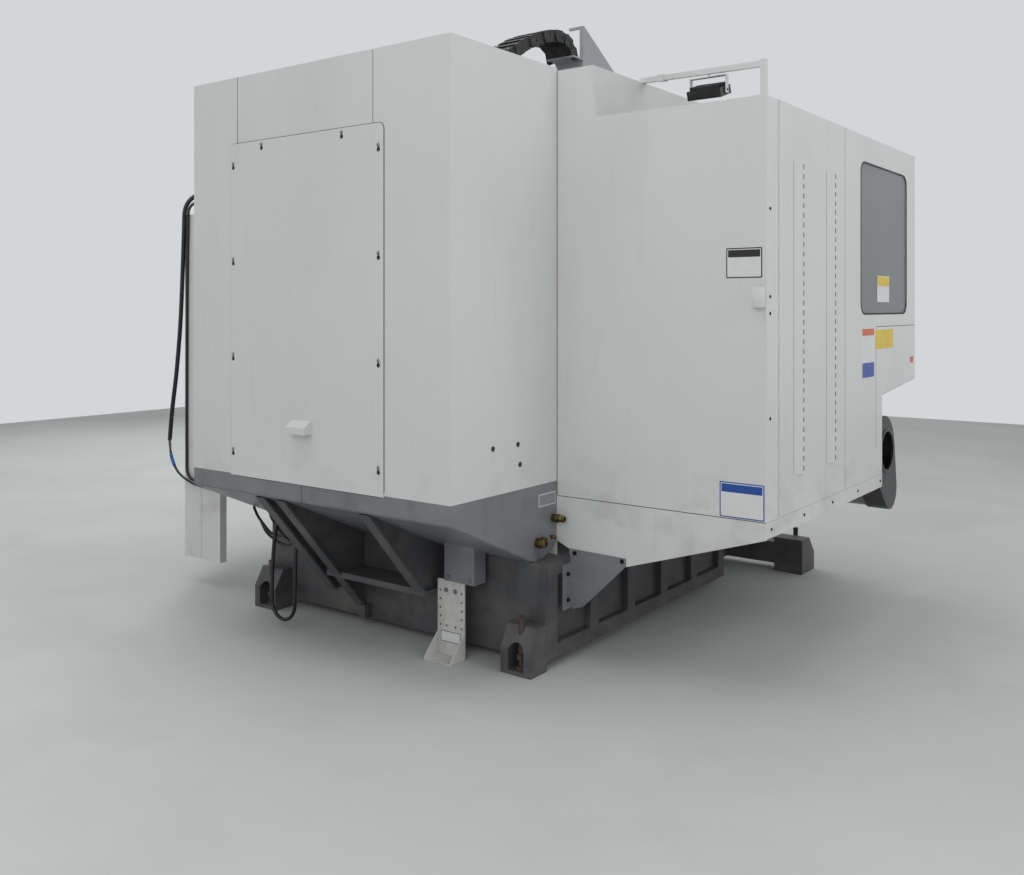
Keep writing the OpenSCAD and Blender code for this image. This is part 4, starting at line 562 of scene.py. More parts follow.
def ride(piece: Piece, body: str) -> Piece:
    """Puts a piece on its body.

    Args:
        piece: Piece in place.
        body: Name of the CAD body.

    Returns:
        The same piece.
    """
    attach(piece, body)
    LOG.info("%s rides on %s, %d faces", piece.name, body, len(piece.data.polygons))
    return piece


def bend(piece: Piece, body: str) -> None:
    """Bakes a piece's place into its mesh and logs the moving body that it belongs to.

    Args:
        piece: Piece in place.
        body: Moving body.
    """
    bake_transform(piece)
    LOG.info("%s bends between machine and %s, %d faces", piece.name, body, len(piece.data.polygons))


@dataclass
class Studio:
    """The photograph's viewpoint, a pale floor and soft light."""

    eye: Point = (-2.961, 4.068, 1.372)
    heading_deg: float = 216.73
    lens_mm: float = 35.72
    drop: float = -0.1274
    ambient: float = 0.42
    backdrop: str = "#d3d6d8"
    floor_reach: float = 9000.0
    floor_cells: int = 8
    aim: Point = (0, 0, 1.1)
    # Name, place and width in metres, and watts of each soft light.
    lamps: tuple[tuple[str, Point, float, float], ...] = (
        ("window_side", (-6.5, 0.4, 4.2), 4.5, 105), ("ceiling", (0.5, 1.0, 6.5), 6.0, 160),
        ("behind_viewer", (-2.5, 7.5, 3.6), 4.0, 92), ("far_side", (6.0, -3.0, 4.5), 4.5, 120))

    # Sealed workshop floor: pale, matt, with faint cloudy tone.
    FLOOR = Finish("sealed_floor", "#c6c8c8", 0.75, tone=0.05, tone_mm=900,
                   layers=(Layer("#b4b5b3", 0.25, (500, 500, 500), (0.5, 0.7), seed=40, roughness=0.8),),
                   relief_mm=(6, 6, 6), relief=0.1)

    def camera(self) -> None:
        """Sets the camera to the photograph's viewpoint."""
        data = bpy.data.cameras.new("viewpoint")
        data.lens, data.sensor_width, data.shift_y = self.lens_mm, 36.0, self.drop
        view = bpy.data.objects.new("viewpoint", data)
        view.location = self.eye
        view.rotation_euler = (math.radians(90), 0, math.radians(self.heading_deg))
        bpy.context.scene.collection.objects.link(view)
        bpy.context.scene.camera = view

    def floor(self) -> None:
        """Lays the floor under the feet, as a grid of cells."""
        shape = Shape()
        cells, row, reach = range(self.floor_cells), self.floor_cells + 1, self.floor_reach
        steps = [-reach + 2 * reach * i / self.floor_cells for i in range(row)]
        shape.add([(x, y, -1.0) for y in steps for x in steps],
                  [(j * row + i, j * row + i + 1, (j + 1) * row + i + 1, (j + 1) * row + i)
                   for j in cells for i in cells])
        shape.made("floor", [self.FLOOR])

    def lights(self) -> None:
        """Adds the lights, which face the machine, and an even surround."""
        for name, place, width, power in self.lamps:
            data = bpy.data.lights.new(name, "AREA")
            data.size, data.energy = width, power
            lamp = bpy.data.objects.new(name, data)
            lamp.location = place
            lamp.rotation_euler = (Vector(self.aim) - Vector(place)).to_track_quat("-Z", "Y").to_euler()
            bpy.context.scene.collection.objects.link(lamp)
        world = bpy.context.scene.world or bpy.data.worlds.new("surround")
        bpy.context.scene.world = world
        world.use_nodes = True
        tree = world.node_tree
        tree.nodes.clear()
        rays = add_node(tree, "ShaderNodeLightPath").outputs
        seen = rays["Is Camera Ray"]
        for kind in ("Is Glossy Ray", "Is Transmission Ray"):
            seen = add_node(tree, "ShaderNodeMath", {"operation": "MAXIMUM"},
                            {0: seen, 1: rays[kind]}).outputs[0]
        even, plain = (add_node(tree, "ShaderNodeBackground", {"Color": linear(code), "Strength": strength})
                       for code, strength in (("#ffffff", self.ambient), (self.backdrop, 1.0)))
        mixed = add_node(tree, "ShaderNodeMixShader",
                         links={0: seen, 1: even.outputs[0], 2: plain.outputs[0]})
        add_node(tree, "ShaderNodeOutputWorld", links={0: mixed.outputs[0]})

    def made(self) -> None:
        """Makes camera, floor and lights."""
        self.camera()
        self.floor()
        self.lights()
        bpy.context.scene.view_settings.view_transform = "Standard"


class CadFinishes:
    """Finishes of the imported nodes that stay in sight."""

    BY_NODE: dict[Finish, tuple[str, ...]] = {
        Paint.CAST: ("base_casting", "rear_struts"),
        Metal.RUSTY: ("levelling_screws",),
        Paint.CAST_LIGHT: ("column", "changer_beam", "saddle"),
        Metal.GROUND: ("guide_rails", "spindle", "y_ball_screw", "z_ball_screw", "x_ball_screw",
                       "chip_auger"),
        Metal.ALUMINIUM: ("door_tracks", "tool_carousel", "cabinet_backplate"),
        Paint.BLACK: ("axis_motors", "spindle_motor", "work_lamp"),
        Paint.GREY_PALE: ("carrier_gusset",),
        Paint.DARK: ("chip_chute",),
        Paint.GREY: ("leg_bracket", "skirt", "gusset_brackets", "pendant_arm", "tool_shuttle"),
        Paint.WHITE: ("housing_corner_panels", "upper_rear_panel", "rear_access_panel", "vent_hood",
                      "rear_walls", "guard_walls", "side_panels", "window_panels", "aprons", "front_frame",
                      "cabinet_shell", "lower_duct", "lamp_frame", "left_door", "right_door",
                      "cabinet_door"),
        Paint.WHITE_WORN: ("support_leg",),
        Soft.GLASS: ("side_windows", "left_door_window", "right_door_window"),
        Metal.PAN: ("chip_pan",),
        Metal.MILLED: ("table",),
        Paint.HEAD: ("spindle_head",),
        Soft.BLACK_ABS: ("main_switch", "jog_wheel"),
        Soft.ABS: ("pendant",),
        Soft.RED: ("emergency_stop",),
        Soft.GREEN: ("cycle_start_button",),
        Soft.YELLOW: ("feed_hold_button",),
        Soft.SHEATH: ("cables",),
        Soft.NYLON: ("cable_carrier",),
        Soft.BELLOWS: ("front_bellows", "rear_bellows", "column_bellows"),
        Metal.BRASS: ("wall_fittings",),
    }

    def made(self) -> None:
        """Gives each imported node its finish."""
        for finish, names in self.BY_NODE.items():
            for name in names:
                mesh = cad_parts[name].data
                count = max(1, len(mesh.materials))
                mesh.materials.clear()
                for _ in range(count):
                    mesh.materials.append(finish.material())
            LOG.info("%s on %d nodes", finish.name, len(names))


@dataclass
class Cabling:
    """Conduits and cables outside the walls, on the routes that their solids hold."""

    thick_conduit: Points = (
        (1374, 762.3, 1941), (1374, 800, 1941), (1374, 840, 1941), (1375, 875, 1941), (1376, 915.2, 1933),
        (1378, 949.2, 1910.2), (1380, 972, 1876.2), (1383, 980.3, 1836), (1388, 980.3, 1740),
        (1396, 980.3, 1590), (1412, 983, 1300), (1440, 986, 1050), (1470, 990, 860), (1492, 990, 700))
    wire_tail: Points = (
        (1492.7, 990, 699.6), (1486, 990, 650), (1466, 991, 600), (1432, 993, 560), (1390, 996, 535),
        (1330, 999, 515), (1250, 1001, 500), (1050, 1006, 492), (880, 1009, 520), (800, 1010, 540),
        (757, 1010, 540), (714.3, 1010, 540))
    thin_conduit: Points = (
        (1352, 762.3, 1898), (1352, 800, 1898), (1352, 850, 1898), (1353, 915.8, 1898),
        (1354, 938.8, 1893.4), (1355, 958.2, 1880.4), (1357, 971.2, 1861), (1358, 975.8, 1838),
        (1360, 975.8, 1780), (1366, 975.8, 1560), (1370, 975.8, 1200), (1372, 975.8, 800),
        (1371, 975.8, 640), (1371, 975.8, 578), (1366.4, 976.5, 555), (1353.4, 978, 535.6),
        (1334, 981, 522.6), (1311, 984, 518), (1268, 988, 515), (1050, 992, 500), (880, 991, 512),
        (800, 990, 518), (757, 990, 518), (714.3, 990, 518))
    drip_loop: Points = (
        (352, 1150, 496.1), (352, 1150, 474.1), (351, 1153, 440), (348, 1164, 360), (347, 1170, 240),
        (348, 1172, 110), (353.5, 1172, 82.4), (369.1, 1172, 59.1), (392.4, 1172, 43.5), (420, 1172, 38),
        (447.6, 1172, 43.5), (470.9, 1172, 59.1), (486.5, 1172, 82.4), (492, 1172, 110), (492, 1170, 240),
        (489, 1164, 350), (483, 1153, 440), (482, 1150, 474.1), (482, 1150, 496.1))
    sag_one: Points = (
        (336, 1060, 455.47), (400, 1070, 380), (520, 1070, 322), (640, 1068, 352), (700, 1060, 400))
    sag_two: Points = (
        (336, 1010, 432.77), (420, 1020, 350), (560, 1020, 330), (670, 1016, 400), (700, 1010, 432.77))
    sag_three: Points = (
        (345, 1110, 477.08), (440, 1120, 400), (540, 1120, 372), (640, 1118, 430), (690, 1110, 477.08))
    rib_pitch: float = 9.0

    @staticmethod
    def smooth(points: Sequence[Point], steps: int) -> list[Vector]:
        """Returns points on the curve that runs through the given ones.

        Args:
            points: Points of the route.
            steps: Steps between two of them.

        Returns:
            The points of a Catmull-Rom curve.
        """
        p = [Vector(q) for q in points]
        line = []
        for i in range(len(p) - 1):
            a, b, c, d = p[max(i - 1, 0)], p[i], p[i + 1], p[min(i + 2, len(p) - 1)]
            for k in range(steps):
                t = k / steps
                line.append(0.5 * (2 * b + (c - a) * t + (2 * a - 5 * b + 4 * c - d) * t * t
                                   + (3 * b - a - 3 * c + d) * t ** 3))
        return line + [p[-1]]

    def _ribbed(self, shape: Shape, line: Sequence[Vector], radius: float, depth: float) -> None:
        """Adds the rings of a corrugated conduit at equal steps.

        Args:
            shape: Mesh that gets them.
            line: Centre line of the conduit.
            radius: Radius over the rings.
            depth: Depth of the rings.
        """
        profile = [(0, radius - depth - 0.5), (0.6, radius), (3.4, radius), (4, radius - depth - 0.5)]
        steps = [(b - a).length for a, b in zip(line, line[1:])]
        walked = [0.0, *accumulate(steps)]
        count = int(walked[-2] / self.rib_pitch)
        for k in range(1, count):
            target = k * walked[-2] / count
            i = bisect_left(walked, target) - 1
            way = (line[i + 1] - line[i]).normalized()
            at = line[i].lerp(line[i + 1], (target - walked[i]) / steps[i])
            shape.turned(at - way * 2, way, profile, 10)

    def _cord(self, name: str, route: Sequence[Point], radius: float, ridges: float = 0.0) -> Piece:
        """Args:
            name: Name of the piece.
            route: Its points in millimetres.
            radius: Radius in millimetres.
            ridges: Depth of the rings of a corrugated conduit, 0 on a plain one.

        Returns:
            The cable.
        """
        line, shape = self.smooth(route, 8), Shape()
        shape.tube(line, radius - ridges)
        if ridges:
            self._ribbed(shape, line, radius, ridges)
        piece = shape.put(name, "machine", "cable", Soft.SHEATH)
        return piece

    def made(self) -> None:
        """Lays the conduits, the drip loop and the three sagging cables."""
        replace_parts(self._cord("cabinet_conduit_thick", self.thick_conduit, 11.5, 1.2), "cables")
        for name, route, radius in (
                ("cabinet_conduit_tail", self.wire_tail, 6), ("cabinet_conduit_thin", self.thin_conduit, 7),
                ("drip_loop_cable", self.drip_loop, 8), ("pan_cable_one", self.sag_one, 6),
                ("pan_cable_two", self.sag_two, 6), ("pan_cable_three", self.sag_three, 6)):
            self._cord(name, route, radius)


@dataclass(frozen=True)
class Spot:
    """Where a copy stands, in millimetres, and how it is turned."""

    place: Point
    turned: Point

    @staticmethod
    def facing(place: Point, way: Point) -> "Spot":
        """Returns a spot whose copy's own Z points along the given way."""
        return Spot(place, tuple(Vector(way).to_track_quat("Z", "Y").to_euler()))

    @staticmethod
    def grid(way: Point, xs: Point, ys: Point, zs: Point) -> list["Spot"]:
        """Returns spots at every combination of the given X, Y and Z, all facing one way."""
        return [Spot.facing(place, way) for place in product(xs, ys, zs)]

    @staticmethod
    def both(x: float, ys: Point, zs: Point) -> list["Spot"]:
        """Returns spots that face outwards on the left and on the right, at that distance."""
        return [spot for s in SIDES for spot in Spot.grid((s, 0, 0), (s * x,), ys, zs)]


class Head(Enum):
    """Turned shapes that are copied, with their foot at the origin and their top along +Z.

    Each is made of parts with a start, a number of sides and a profile.
    """

    PAN = ((0, 10, ((0, 6.2), (1.4, 6.2), (2.8, 4.8), (3.4, 2.4), (2.0, 2.0))),)
    HEXAGON = ((0, 12, ((0, 11), (1.6, 11), (1.8, 10.6))), (1.8, 6, ((0, 8.6), (5.6, 8.6), (6.6, 7.4))))
    SOCKET = ((0, 12, ((0, 8), (7.2, 8), (8, 7.2), (8, 4.2), (4.4, 3.9))),)
    PLUG = ((0, 14, ((0, 10), (1.4, 10), (2.4, 8.6), (3.2, 4))),)

    def shape(self) -> Shape:
        """Turns the parts of this head.

        Returns:
            The head's shape.
        """
        shape = Shape()
        for start, sides, profile in self.value:
            shape.turned((0, 0, start), UP, profile, sides)
        return shape


def slot_shade() -> Shape:
    """Makes a dark flat strip: painted shade in the open mouth of a slit, used for louvre slits and comb
    slots.

    Returns:
        The strip, lying on its wall.
    """
    shape = Shape()
    shape.slab((-2.2, -9, 0), (4.4, 0, 0), (0, 18, 0), (0, 0, 0.5))
    return shape


class Copies:
    """Sets copies of a small shape on points through one node tree."""

    tree: Tree | None = None

    @classmethod
    def _network(cls) -> Tree:
        """Builds the tree on first use: copies on points, each turned by its attribute and by chance.

        Returns:
            The node tree.
        """
        if cls.tree:
            return cls.tree
        tree = bpy.data.node_groups.new("copies_on_points", "GeometryNodeTree")
        for name, kind in (("Points", "Geometry"), ("Shape", "Object"), ("Size", "Float"), ("Turn", "Float"),
                           ("Seed", "Int"), ("Finish", "Material")):
            tree.interface.new_socket(name, in_out="INPUT", socket_type=f"NodeSocket{kind}")
        tree.interface.new_socket("Geometry", in_out="OUTPUT", socket_type="NodeSocketGeometry")
        given = add_node(tree, "NodeGroupInput").outputs
        shape = add_node(tree, "GeometryNodeObjectInfo", links={"Object": given["Shape"]})
        turned = add_node(tree, "GeometryNodeInputNamedAttribute",
                          {"data_type": "FLOAT_VECTOR", "Name": "turned"})
        base = add_node(tree, "FunctionNodeEulerToRotation", links={0: turned.outputs[0]})
        # A Random Value node takes its largest number at socket 3 and its seed at 8, and gives it at 1.
        chance = add_node(tree, "FunctionNodeRandomValue", {"data_type": "FLOAT"},
                          {3: given["Turn"], 8: given["Seed"]})
        about = add_node(tree, "ShaderNodeCombineXYZ", links={2: chance.outputs[1]})
        extra = add_node(tree, "FunctionNodeEulerToRotation", links={0: about.outputs[0]})
        whole = add_node(tree, "FunctionNodeRotateRotation", {"rotation_space": "LOCAL"},
                         {0: base.outputs[0], 1: extra.outputs[0]})
        placed = add_node(tree, "GeometryNodeInstanceOnPoints",
                          links={"Points": given["Points"], "Instance": shape.outputs["Geometry"],
                                 "Rotation": whole.outputs[0], "Scale": given["Size"]})
        real = add_node(tree, "GeometryNodeRealizeInstances", links={0: placed.outputs[0]})
        dressed = add_node(tree, "GeometryNodeSetMaterial",
                           links={"Geometry": real.outputs[0], "Material": given["Finish"]})
        add_node(tree, "NodeGroupOutput", links={0: dressed.outputs[0]})
        cls.tree = tree
        return tree

    @classmethod
    def made(cls, name: str, body: str | None, shape: Shape | Head, spots: Sequence[Spot], finish: Finish,
             size: float = 1.0, turn: float = 6.28, slot: str = "steel") -> Piece:
        """Makes one plain mesh of all the copies.

        Args:
            name: Name of the piece.
            body: Body that it rides on; None leaves the body to the caller.
            shape: What is copied.
            spots: Where the copies stand.
            finish: Their finish.
            size: Scale of a copy.
            turn: Largest random turn about a copy's own Z, in radians.
            slot: Not used.

        Returns:
            The piece.
        """
        model = (shape.shape() if isinstance(shape, Head) else shape).made(f"{name}_model", [finish])
        mesh = bpy.data.meshes.new(name)
        mesh.from_pydata([Vector(s.place) * MM for s in spots], [], [])
        rows = mesh.attributes.new("turned", "FLOAT_VECTOR", "POINT").data
        for row, spot in zip(rows, spots):
            row.vector = spot.turned
        piece = bpy.data.objects.new(name, mesh)
        bpy.context.scene.collection.objects.link(piece)
        work = piece.modifiers.new("copies", "NODES")
        work.node_group = cls._network()
        values = {"Shape": model, "Size": size, "Turn": turn, "Seed": len(name), "Finish": finish.material()}
        for item in work.node_group.interface.items_tree:
            if item.in_out == "INPUT" and item.name in values:
                work[item.identifier] = values[item.name]
        graph = bpy.context.evaluated_depsgraph_get()
        plain = bpy.data.meshes.new_from_object(piece.evaluated_get(graph), depsgraph=graph)
        piece.modifiers.remove(work)
        piece.data = plain
        bpy.data.objects.remove(model)
        return ride(piece, body) if body else piece


@dataclass
class Housing:
    """Rear housing: a dark ring of painted shadow round the access panel, its keyholes as painted shade, its
    screws, and plug caps.
    """

    wall: float = 1408.0
    face: float = 1411.0
    side: float = -714.0
    # Lower left corner, width and height of the opening that the ring of painted shadow runs round.
    corner: tuple[float, float] = (-399, 686)
    wide: float = 861.0
    tall: float = 1353.0
    keyholes: Profile = (
        (-375, 1955), (-375, 1563), (-375, 1173), (-375, 785), (448, 1955), (448, 1563), (448, 1173),
        (448, 785), (-185, 2020), (272, 2020))
    plugs: Profile = ((1172, 860), (1020, 860), (1007, 784))

    def made(self) -> None:
        """Makes the dress of the housing."""
        # A thin dark ring round the access panel: painted shadow along the panel's edge.
        edge = Shape()
        edge.rim((self.corner[0], self.wall, self.corner[1]), self.wide, self.tall, 1.6, 3.2, 23)
        edge.put("access_panel_gasket", "machine", "bellows", Soft.RUBBER_AND_SHADE)
        # Each keyhole is a flat dark slot and disc: painted shade in the open keyhole.
        keyhole_shades = Shape()
        for x, z in self.keyholes:
            keyhole_shades.plate((x - 4.2, self.face, z - 17), 8.4, 30, 0.35, 0, 4.1)
            keyhole_shades.turned((x, self.face, z - 12), REAR, [(0, 8.4), (0.4, 8.4)], 16)
        keyhole_shades.put("access_panel_keyholes", "machine", "black_plastic", Soft.RUBBER_AND_SHADE)
        Copies.made("access_panel_screws", "machine", Head.PAN,
                    [Spot.facing((x, self.face + 0.3, z + 4), REAR) for x, z in self.keyholes],
                    Metal.SCREW, 1.15)
        Copies.made("housing_plug_caps", "machine", Head.PLUG,
                    [Spot.facing((self.side, y, z), LEFT) for y, z in self.plugs], Soft.BLACK_ABS,
                    slot="black_plastic")


@dataclass
class Walls:
    """Wing walls: screws of the side strips, window seals, and dark strips of painted shade in the louvre
    slits, in the gaps between sheets and at the feet of the louvre ribs.
    """

    side: float = 1580.0
    # Screws of a strip: one row up the rear edge, one row along the lower edge.
    strip: tuple[tuple[Point, Point], ...] = (
        ((730,), (1712, 1408, 1350, 987)), ((718, 411, 107, -199, -501), (604,)))
    # Front end, lower edge, length and height of a side window, and its seal's width and corner.
    window: tuple[float, ...] = (-901, 1346, 659, 638, 7, 45)
    ribs: Point = (447.7, 107.7)
    slit_count: int = 32
    shade_strip_wide: float = 2.4
    # Start and end of each strip of painted shade on the right wing, in the gaps between sheets and at the
    # feet of the louvre ribs; the left one mirrors it.
    wing_shade_strips: tuple[tuple[Point, Point], ...] = (
        ((1580, 652.5, 634), (1580, 652.5, 2098)), ((1580, -39.5, 634), (1580, -39.5, 2098)),
        ((1580, -443, 1286), (1580, -1046, 1286)), ((1580, -443, 752), (1580, -443, 1286)),
        ((720, 762, 632), (1578, 762, 632)), ((716, 762, 634), (716, 762, 2298)),
        ((1580, 513, 764), (1580, 513, 1901)), ((1580, 173, 764), (1580, 173, 1901)))
    # Strips of painted shade in the gaps between the rear sheets.
    rear_shade_strips: tuple[tuple[Point, Point], ...] = (
        ((-344.5, 1408, 2042), (-344.5, 1408, 2310)), ((425.5, 1408, 2042), (425.5, 1408, 2310)),
        ((38, 1408, 622), (38, 1408, 688)))

    def made(self) -> None:
        """Makes the screws, the window seals, and the painted shade in the slits and in the gaps between
        sheets.
        """
        Copies.made("side_strip_screws", "machine", Head.PAN,
                    [spot for ys, zs in self.strip for spot in Spot.both(self.side, ys, zs)],
                    Metal.BLACK_SCREW, 0.95)
        seal, (y, z, length, tall, width, round_mm) = Shape(), self.window
        for s in SIDES:
            seal.frame_ring((s * (self.side - 3), y, z), (0, length, 0), (0, 0, tall), (s * 4.5, 0, 0),
                            width, round_mm)
        seal.put("side_window_seals", "machine", "bellows", Soft.RUBBER_AND_SHADE, soften=0.8)
        # Ramp of a louvre rib: 14 mm over 72 mm, so its normal leans back by 11 degrees.
        heights = [782 + 35.6 * i for i in range(self.slit_count)]
        # The louvre slits' open mouths are flat dark strips on the ramps: painted shade.
        slit_shades = [spot for s in SIDES for spot in
                 Spot.grid((s * 0.982, 0.191, 0), (s * (self.side + 12.5),), self.ribs, heights)]
        Copies.made("side_rib_slits", "machine", slot_shade(), slit_shades, Soft.RUBBER_AND_SHADE, turn=0.0, slot="black_plastic")
        self._shade_gaps()

    def _shade_gaps(self) -> None:
        """Makes dark strips a quarter of a millimetre proud: painted shade in the gaps between the sheets and
        at the feet of the louvre ribs.
        """
        shade_strips = [((s * a[0], *a[1:]), (s * b[0], *b[1:]), (s, 0, 0) if a[0] == self.side else REAR)
                  for s in SIDES for a, b in self.wing_shade_strips]
        shade_strips += [(a, b, REAR) for a, b in self.rear_shade_strips]
        shape = Shape()
        for start, end, out in ((Vector(v) for v in joint) for joint in shade_strips):
            way = end - start
            across = way.normalized().cross(out) * self.shade_strip_wide
            shape.slab(start - across / 2, way, across, out * 0.25)
        shape.put("sheet_joints", "machine", "black_plastic", Soft.RUBBER_AND_SHADE, smooth=False)


class Ink(IntEnum):
    """Colours of the bare plates, numbered as Placards.finishes is."""

    WHITE = 0
    BLACK = 1
    BLUE = 2
    YELLOW = 3
    ORANGE = 4
    GREY = 5


@dataclass(frozen=True)
class Plate:
    """A bare plate: lower corner, lower edge, height, and its level bands of colour.

    A band is a start and an end share of the height, and a colour. The plate faces rear if its edge
    runs along X, else left.
    """

    corner: Point
    along: Point
    tall: float
    bands: tuple[tuple[float, float, Ink], ...]
    border: Ink | None = None

    def add(self, shape: Shape) -> None:
        """Adds the plate to a mesh.

        Args:
            shape: Mesh that gets it.
        """
        corner, along, out = Vector(self.corner), Vector(self.along), Vector(REAR if self.along[0] else LEFT)
        side = along.normalized()

        def field(inset: float, start: float, tall: float, lift: float, kind: int, round_mm: float) -> None:
            """Adds one field, that far inside the edges and over the lower edge."""
            shape.slab(corner + side * inset + Vector((0, 0, inset + start)), along - side * 2 * inset,
                       (0, 0, tall), out * lift, kind, round_mm)

        margin = 0 if self.border is None else 4
        field(0, 0, self.tall, 0.5, self.border or Ink.WHITE, 4)
        if margin:
            field(margin, 0, self.tall - 2 * margin, 0.7, Ink.WHITE, 3)
        room = self.tall - 2 * margin - 6
        for low, high, kind in self.bands:
            field(margin + 3, low * room, (high - low) * room, 0.95, kind, 2)


@dataclass
class Placards:
    """Bare plates and plain colour fields where the machine carries its stickers."""

    finishes: tuple[Finish, ...] = (Paint.VINYL_WHITE, Paint.VINYL_BLACK, Paint.VINYL_BLUE,
                                    Paint.VINYL_YELLOW, Paint.VINYL_ORANGE, Paint.VINYL_GREY)
    walls: tuple[Plate, ...] = (
        Plate((-1432, 762, 1473), (-133, 0, 0), 105, ((0.72, 1.0, Ink.BLACK),), Ink.BLACK),
        Plate((-1407, 762, 636), (-166, 0, 0), 124, ((0.74, 1.0, Ink.BLUE),), Ink.BLUE),
        Plate((-1580, -254, 1068), (0, -163, 0), 214, ((0.86, 1.0, Ink.ORANGE), (0.0, 0.3, Ink.BLUE))),
        Plate((-1580, -430, 1185), (0, -265, 0), 90, ((0.0, 1.0, Ink.YELLOW),)),
        Plate((-1580, -960, 1040), (0, -60, 0), 97, ((0.7, 1.0, Ink.ORANGE),)),
        Plate((-1577.1, -469, 1394), (0, -175, 0), 116, ((0.62, 1.0, Ink.YELLOW),)),
        Plate((-714, 770, 600), (0, 120, 0), 55, ((0.0, 1.0, Ink.GREY),), Ink.GREY),
        Plate((-336, 1019.9, 56), (-102, 0, 0), 44, ((0.0, 1.0, Ink.WHITE),), Ink.GREY))
    cabinet: tuple[Plate, ...] = (
        Plate((1180, 968, 1640), (-90, 0, 0), 60, ((0.0, 1.0, Ink.YELLOW),)),
        Plate((1010, 968, 1690), (-150, 0, 0), 70, ((0.0, 1.0, Ink.GREY),), Ink.GREY))

    def made(self) -> None:
        """Makes the plates on the walls and those on the cabinet door."""
        for name, body, plates in (("bare_plates", "machine", self.walls),
                                   ("cabinet_bare_plates", "cabinet_door", self.cabinet)):
            shape = Shape()
            for plate in plates:
                plate.add(shape)
            shape.put(name, body, "white_panel", *self.finishes, smooth=False)


@dataclass
class Fittings:
    """Air and coolant fittings on the skirt, and the hose holder at the corner."""

    wall: float = -714.0
    # Y, Z, radius and length of each fitting.
    fittings: tuple[tuple[float, float, float, float], ...] = (
        (790, 549, 17, 56), (897, 471, 20, 44), (864, 481, 8, 24), (803, 477, 8, 24))
    # Collar, hexagon and thread in shares of length and radius, with their sides and first angle.
    parts: tuple[tuple[Profile, int, float], ...] = (
        (((0, 0.92), (0.14, 0.92), (0.16, 0.7), (0.3, 0.7)), 20, 0),
        (((0.3, 1), (0.52, 1), (0.54, 0.94)), 6, 12),
        ((*((0.55 + 0.05 * k, 0.78 if k % 2 else 0.7) for k in range(8)), (0.99, 0.66)), 20, 0))
    bore: float = 0.34
    gap: float = 0.4
    holder: tuple[float, float, float, float] = (-1578, -1537, 762.2, 792)

    def _walls(self, inset: float, z: float) -> list[Point]:
        """Returns the holder's outline, that far inside, at that height."""
        x0, x1, y0, y1 = (edge + inset * way for edge, way in zip(self.holder, (1, -1, 1, -1)))
        return [(x0, y0, z), (x1, y0, z), (x1, y1, z), (x0, y1, z)]

    def made(self) -> None:
        """Makes turned brass bodies with hexagons, bores and a threaded end, and the white holder."""
        shape = Shape()
        for y, z, radius, length in self.fittings:
            for part, sides, turn in self.parts:
                rings = [(max(self.gap, length * d), radius * r) for d, r in part]
                bore = radius * self.bore
                shape.turned((self.wall, y, z), LEFT, [(rings[0][0], bore), *rings, (rings[-1][0], bore)],
                             sides, 0, turn, hollow=True)
        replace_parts(shape.put("skirt_fittings", "machine", "brass", Metal.BRASS), "wall_fittings")
        box = Shape()
        box.lofted([self._walls(*at) for at in ((0, 1370), (0, 1440), (3, 1440), (3, 1374))])
        box.put("hose_holder", "machine", "white_panel", Paint.WHITE, soften=0.8)
        Copies.made("hose_holder_screws", "machine", Head.PAN,
                    Spot.grid(REAR, (-1557,), (765.2,), (1388, 1424)), Metal.SCREW, 0.6)


@dataclass(frozen=True)
class Folds:
    """One way cover: a folded channel of coated fabric between the frame and a moving body.

    The channel's flat back lies at top and its flanks reach to low; folds run from start to end.
    fixed and moving are points in metres past the two ends; they are not used.
    """

    name: str
    node: str
    body: str
    half: float
    top: float
    low: float
    start: float
    end: float
    count: int
    fixed: Point
    moving: Point
    upright: bool = False
    depth: float = 12.0
    cloth: float = 2.0
    chamfer: float = 10.0
    column_front: float = 180.0

    def _section(self, along: float, drop: float) -> list[Vector]:
        """Returns the closed outline of the cloth at one station.

        Args:
            along: Station along the travel.
            drop: How far this fold lies inside.

        Returns:
            Points of the outline.
        """
        w, h, c, t = self.half - drop, self.top - drop, self.chamfer, self.cloth
        outline = [(-w, self.low), (-w, h - c), (-w + c, h), (w - c, h), (w, h - c), (w, self.low),
                   (w - t, self.low), (w - t, h - c - t * 0.4), (w - c - t * 0.4, h - t),
                   (-w + c + t * 0.4, h - t), (-w + t, h - c - t * 0.4), (-w + t, self.low)]
        if self.upright:
            return [Vector((x, self.column_front + (self.top - v), along)) for x, v in outline]
        return [Vector((x, along, v)) for x, v in outline]

    def made(self) -> None:
        """Makes the folds, hides the imported node that they replace and bakes their place into the mesh."""
        shape = Shape()
        steps = self.count * 2
        shape.lofted([self._section(self.start + (self.end - self.start) * k / steps, self.depth * (k % 2))
                      for k in range(steps + 1)])
        piece = shape.made(self.name, [Soft.BELLOWS], smooth=False)
        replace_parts(piece, self.node)
        bend(piece, self.body)


@dataclass
class WayCovers:
    """The three folded covers, over the ways in front of and behind the saddle and on the column."""

    covers: tuple[Folds, ...] = (
        Folds("front_way_cover", "front_bellows", "saddle", 600, 700, 606, -1045, -550, 14,
              (0, -1.07, 0.69), (0, -0.525, 0.69)),
        Folds("rear_way_cover", "rear_bellows", "saddle", 600, 700, 606, 300, -110, 12,
              (0, 0.325, 0.69), (0, -0.135, 0.69)),
        Folds("column_way_cover", "column_bellows", "head", 290, 194, 74, 764, 1700, 26,
              (0, 0.19, 0.739), (0, 0.19, 1.725), upright=True))

    def made(self) -> None:
        """Makes the covers."""
        for cover in self.covers:
            cover.made()


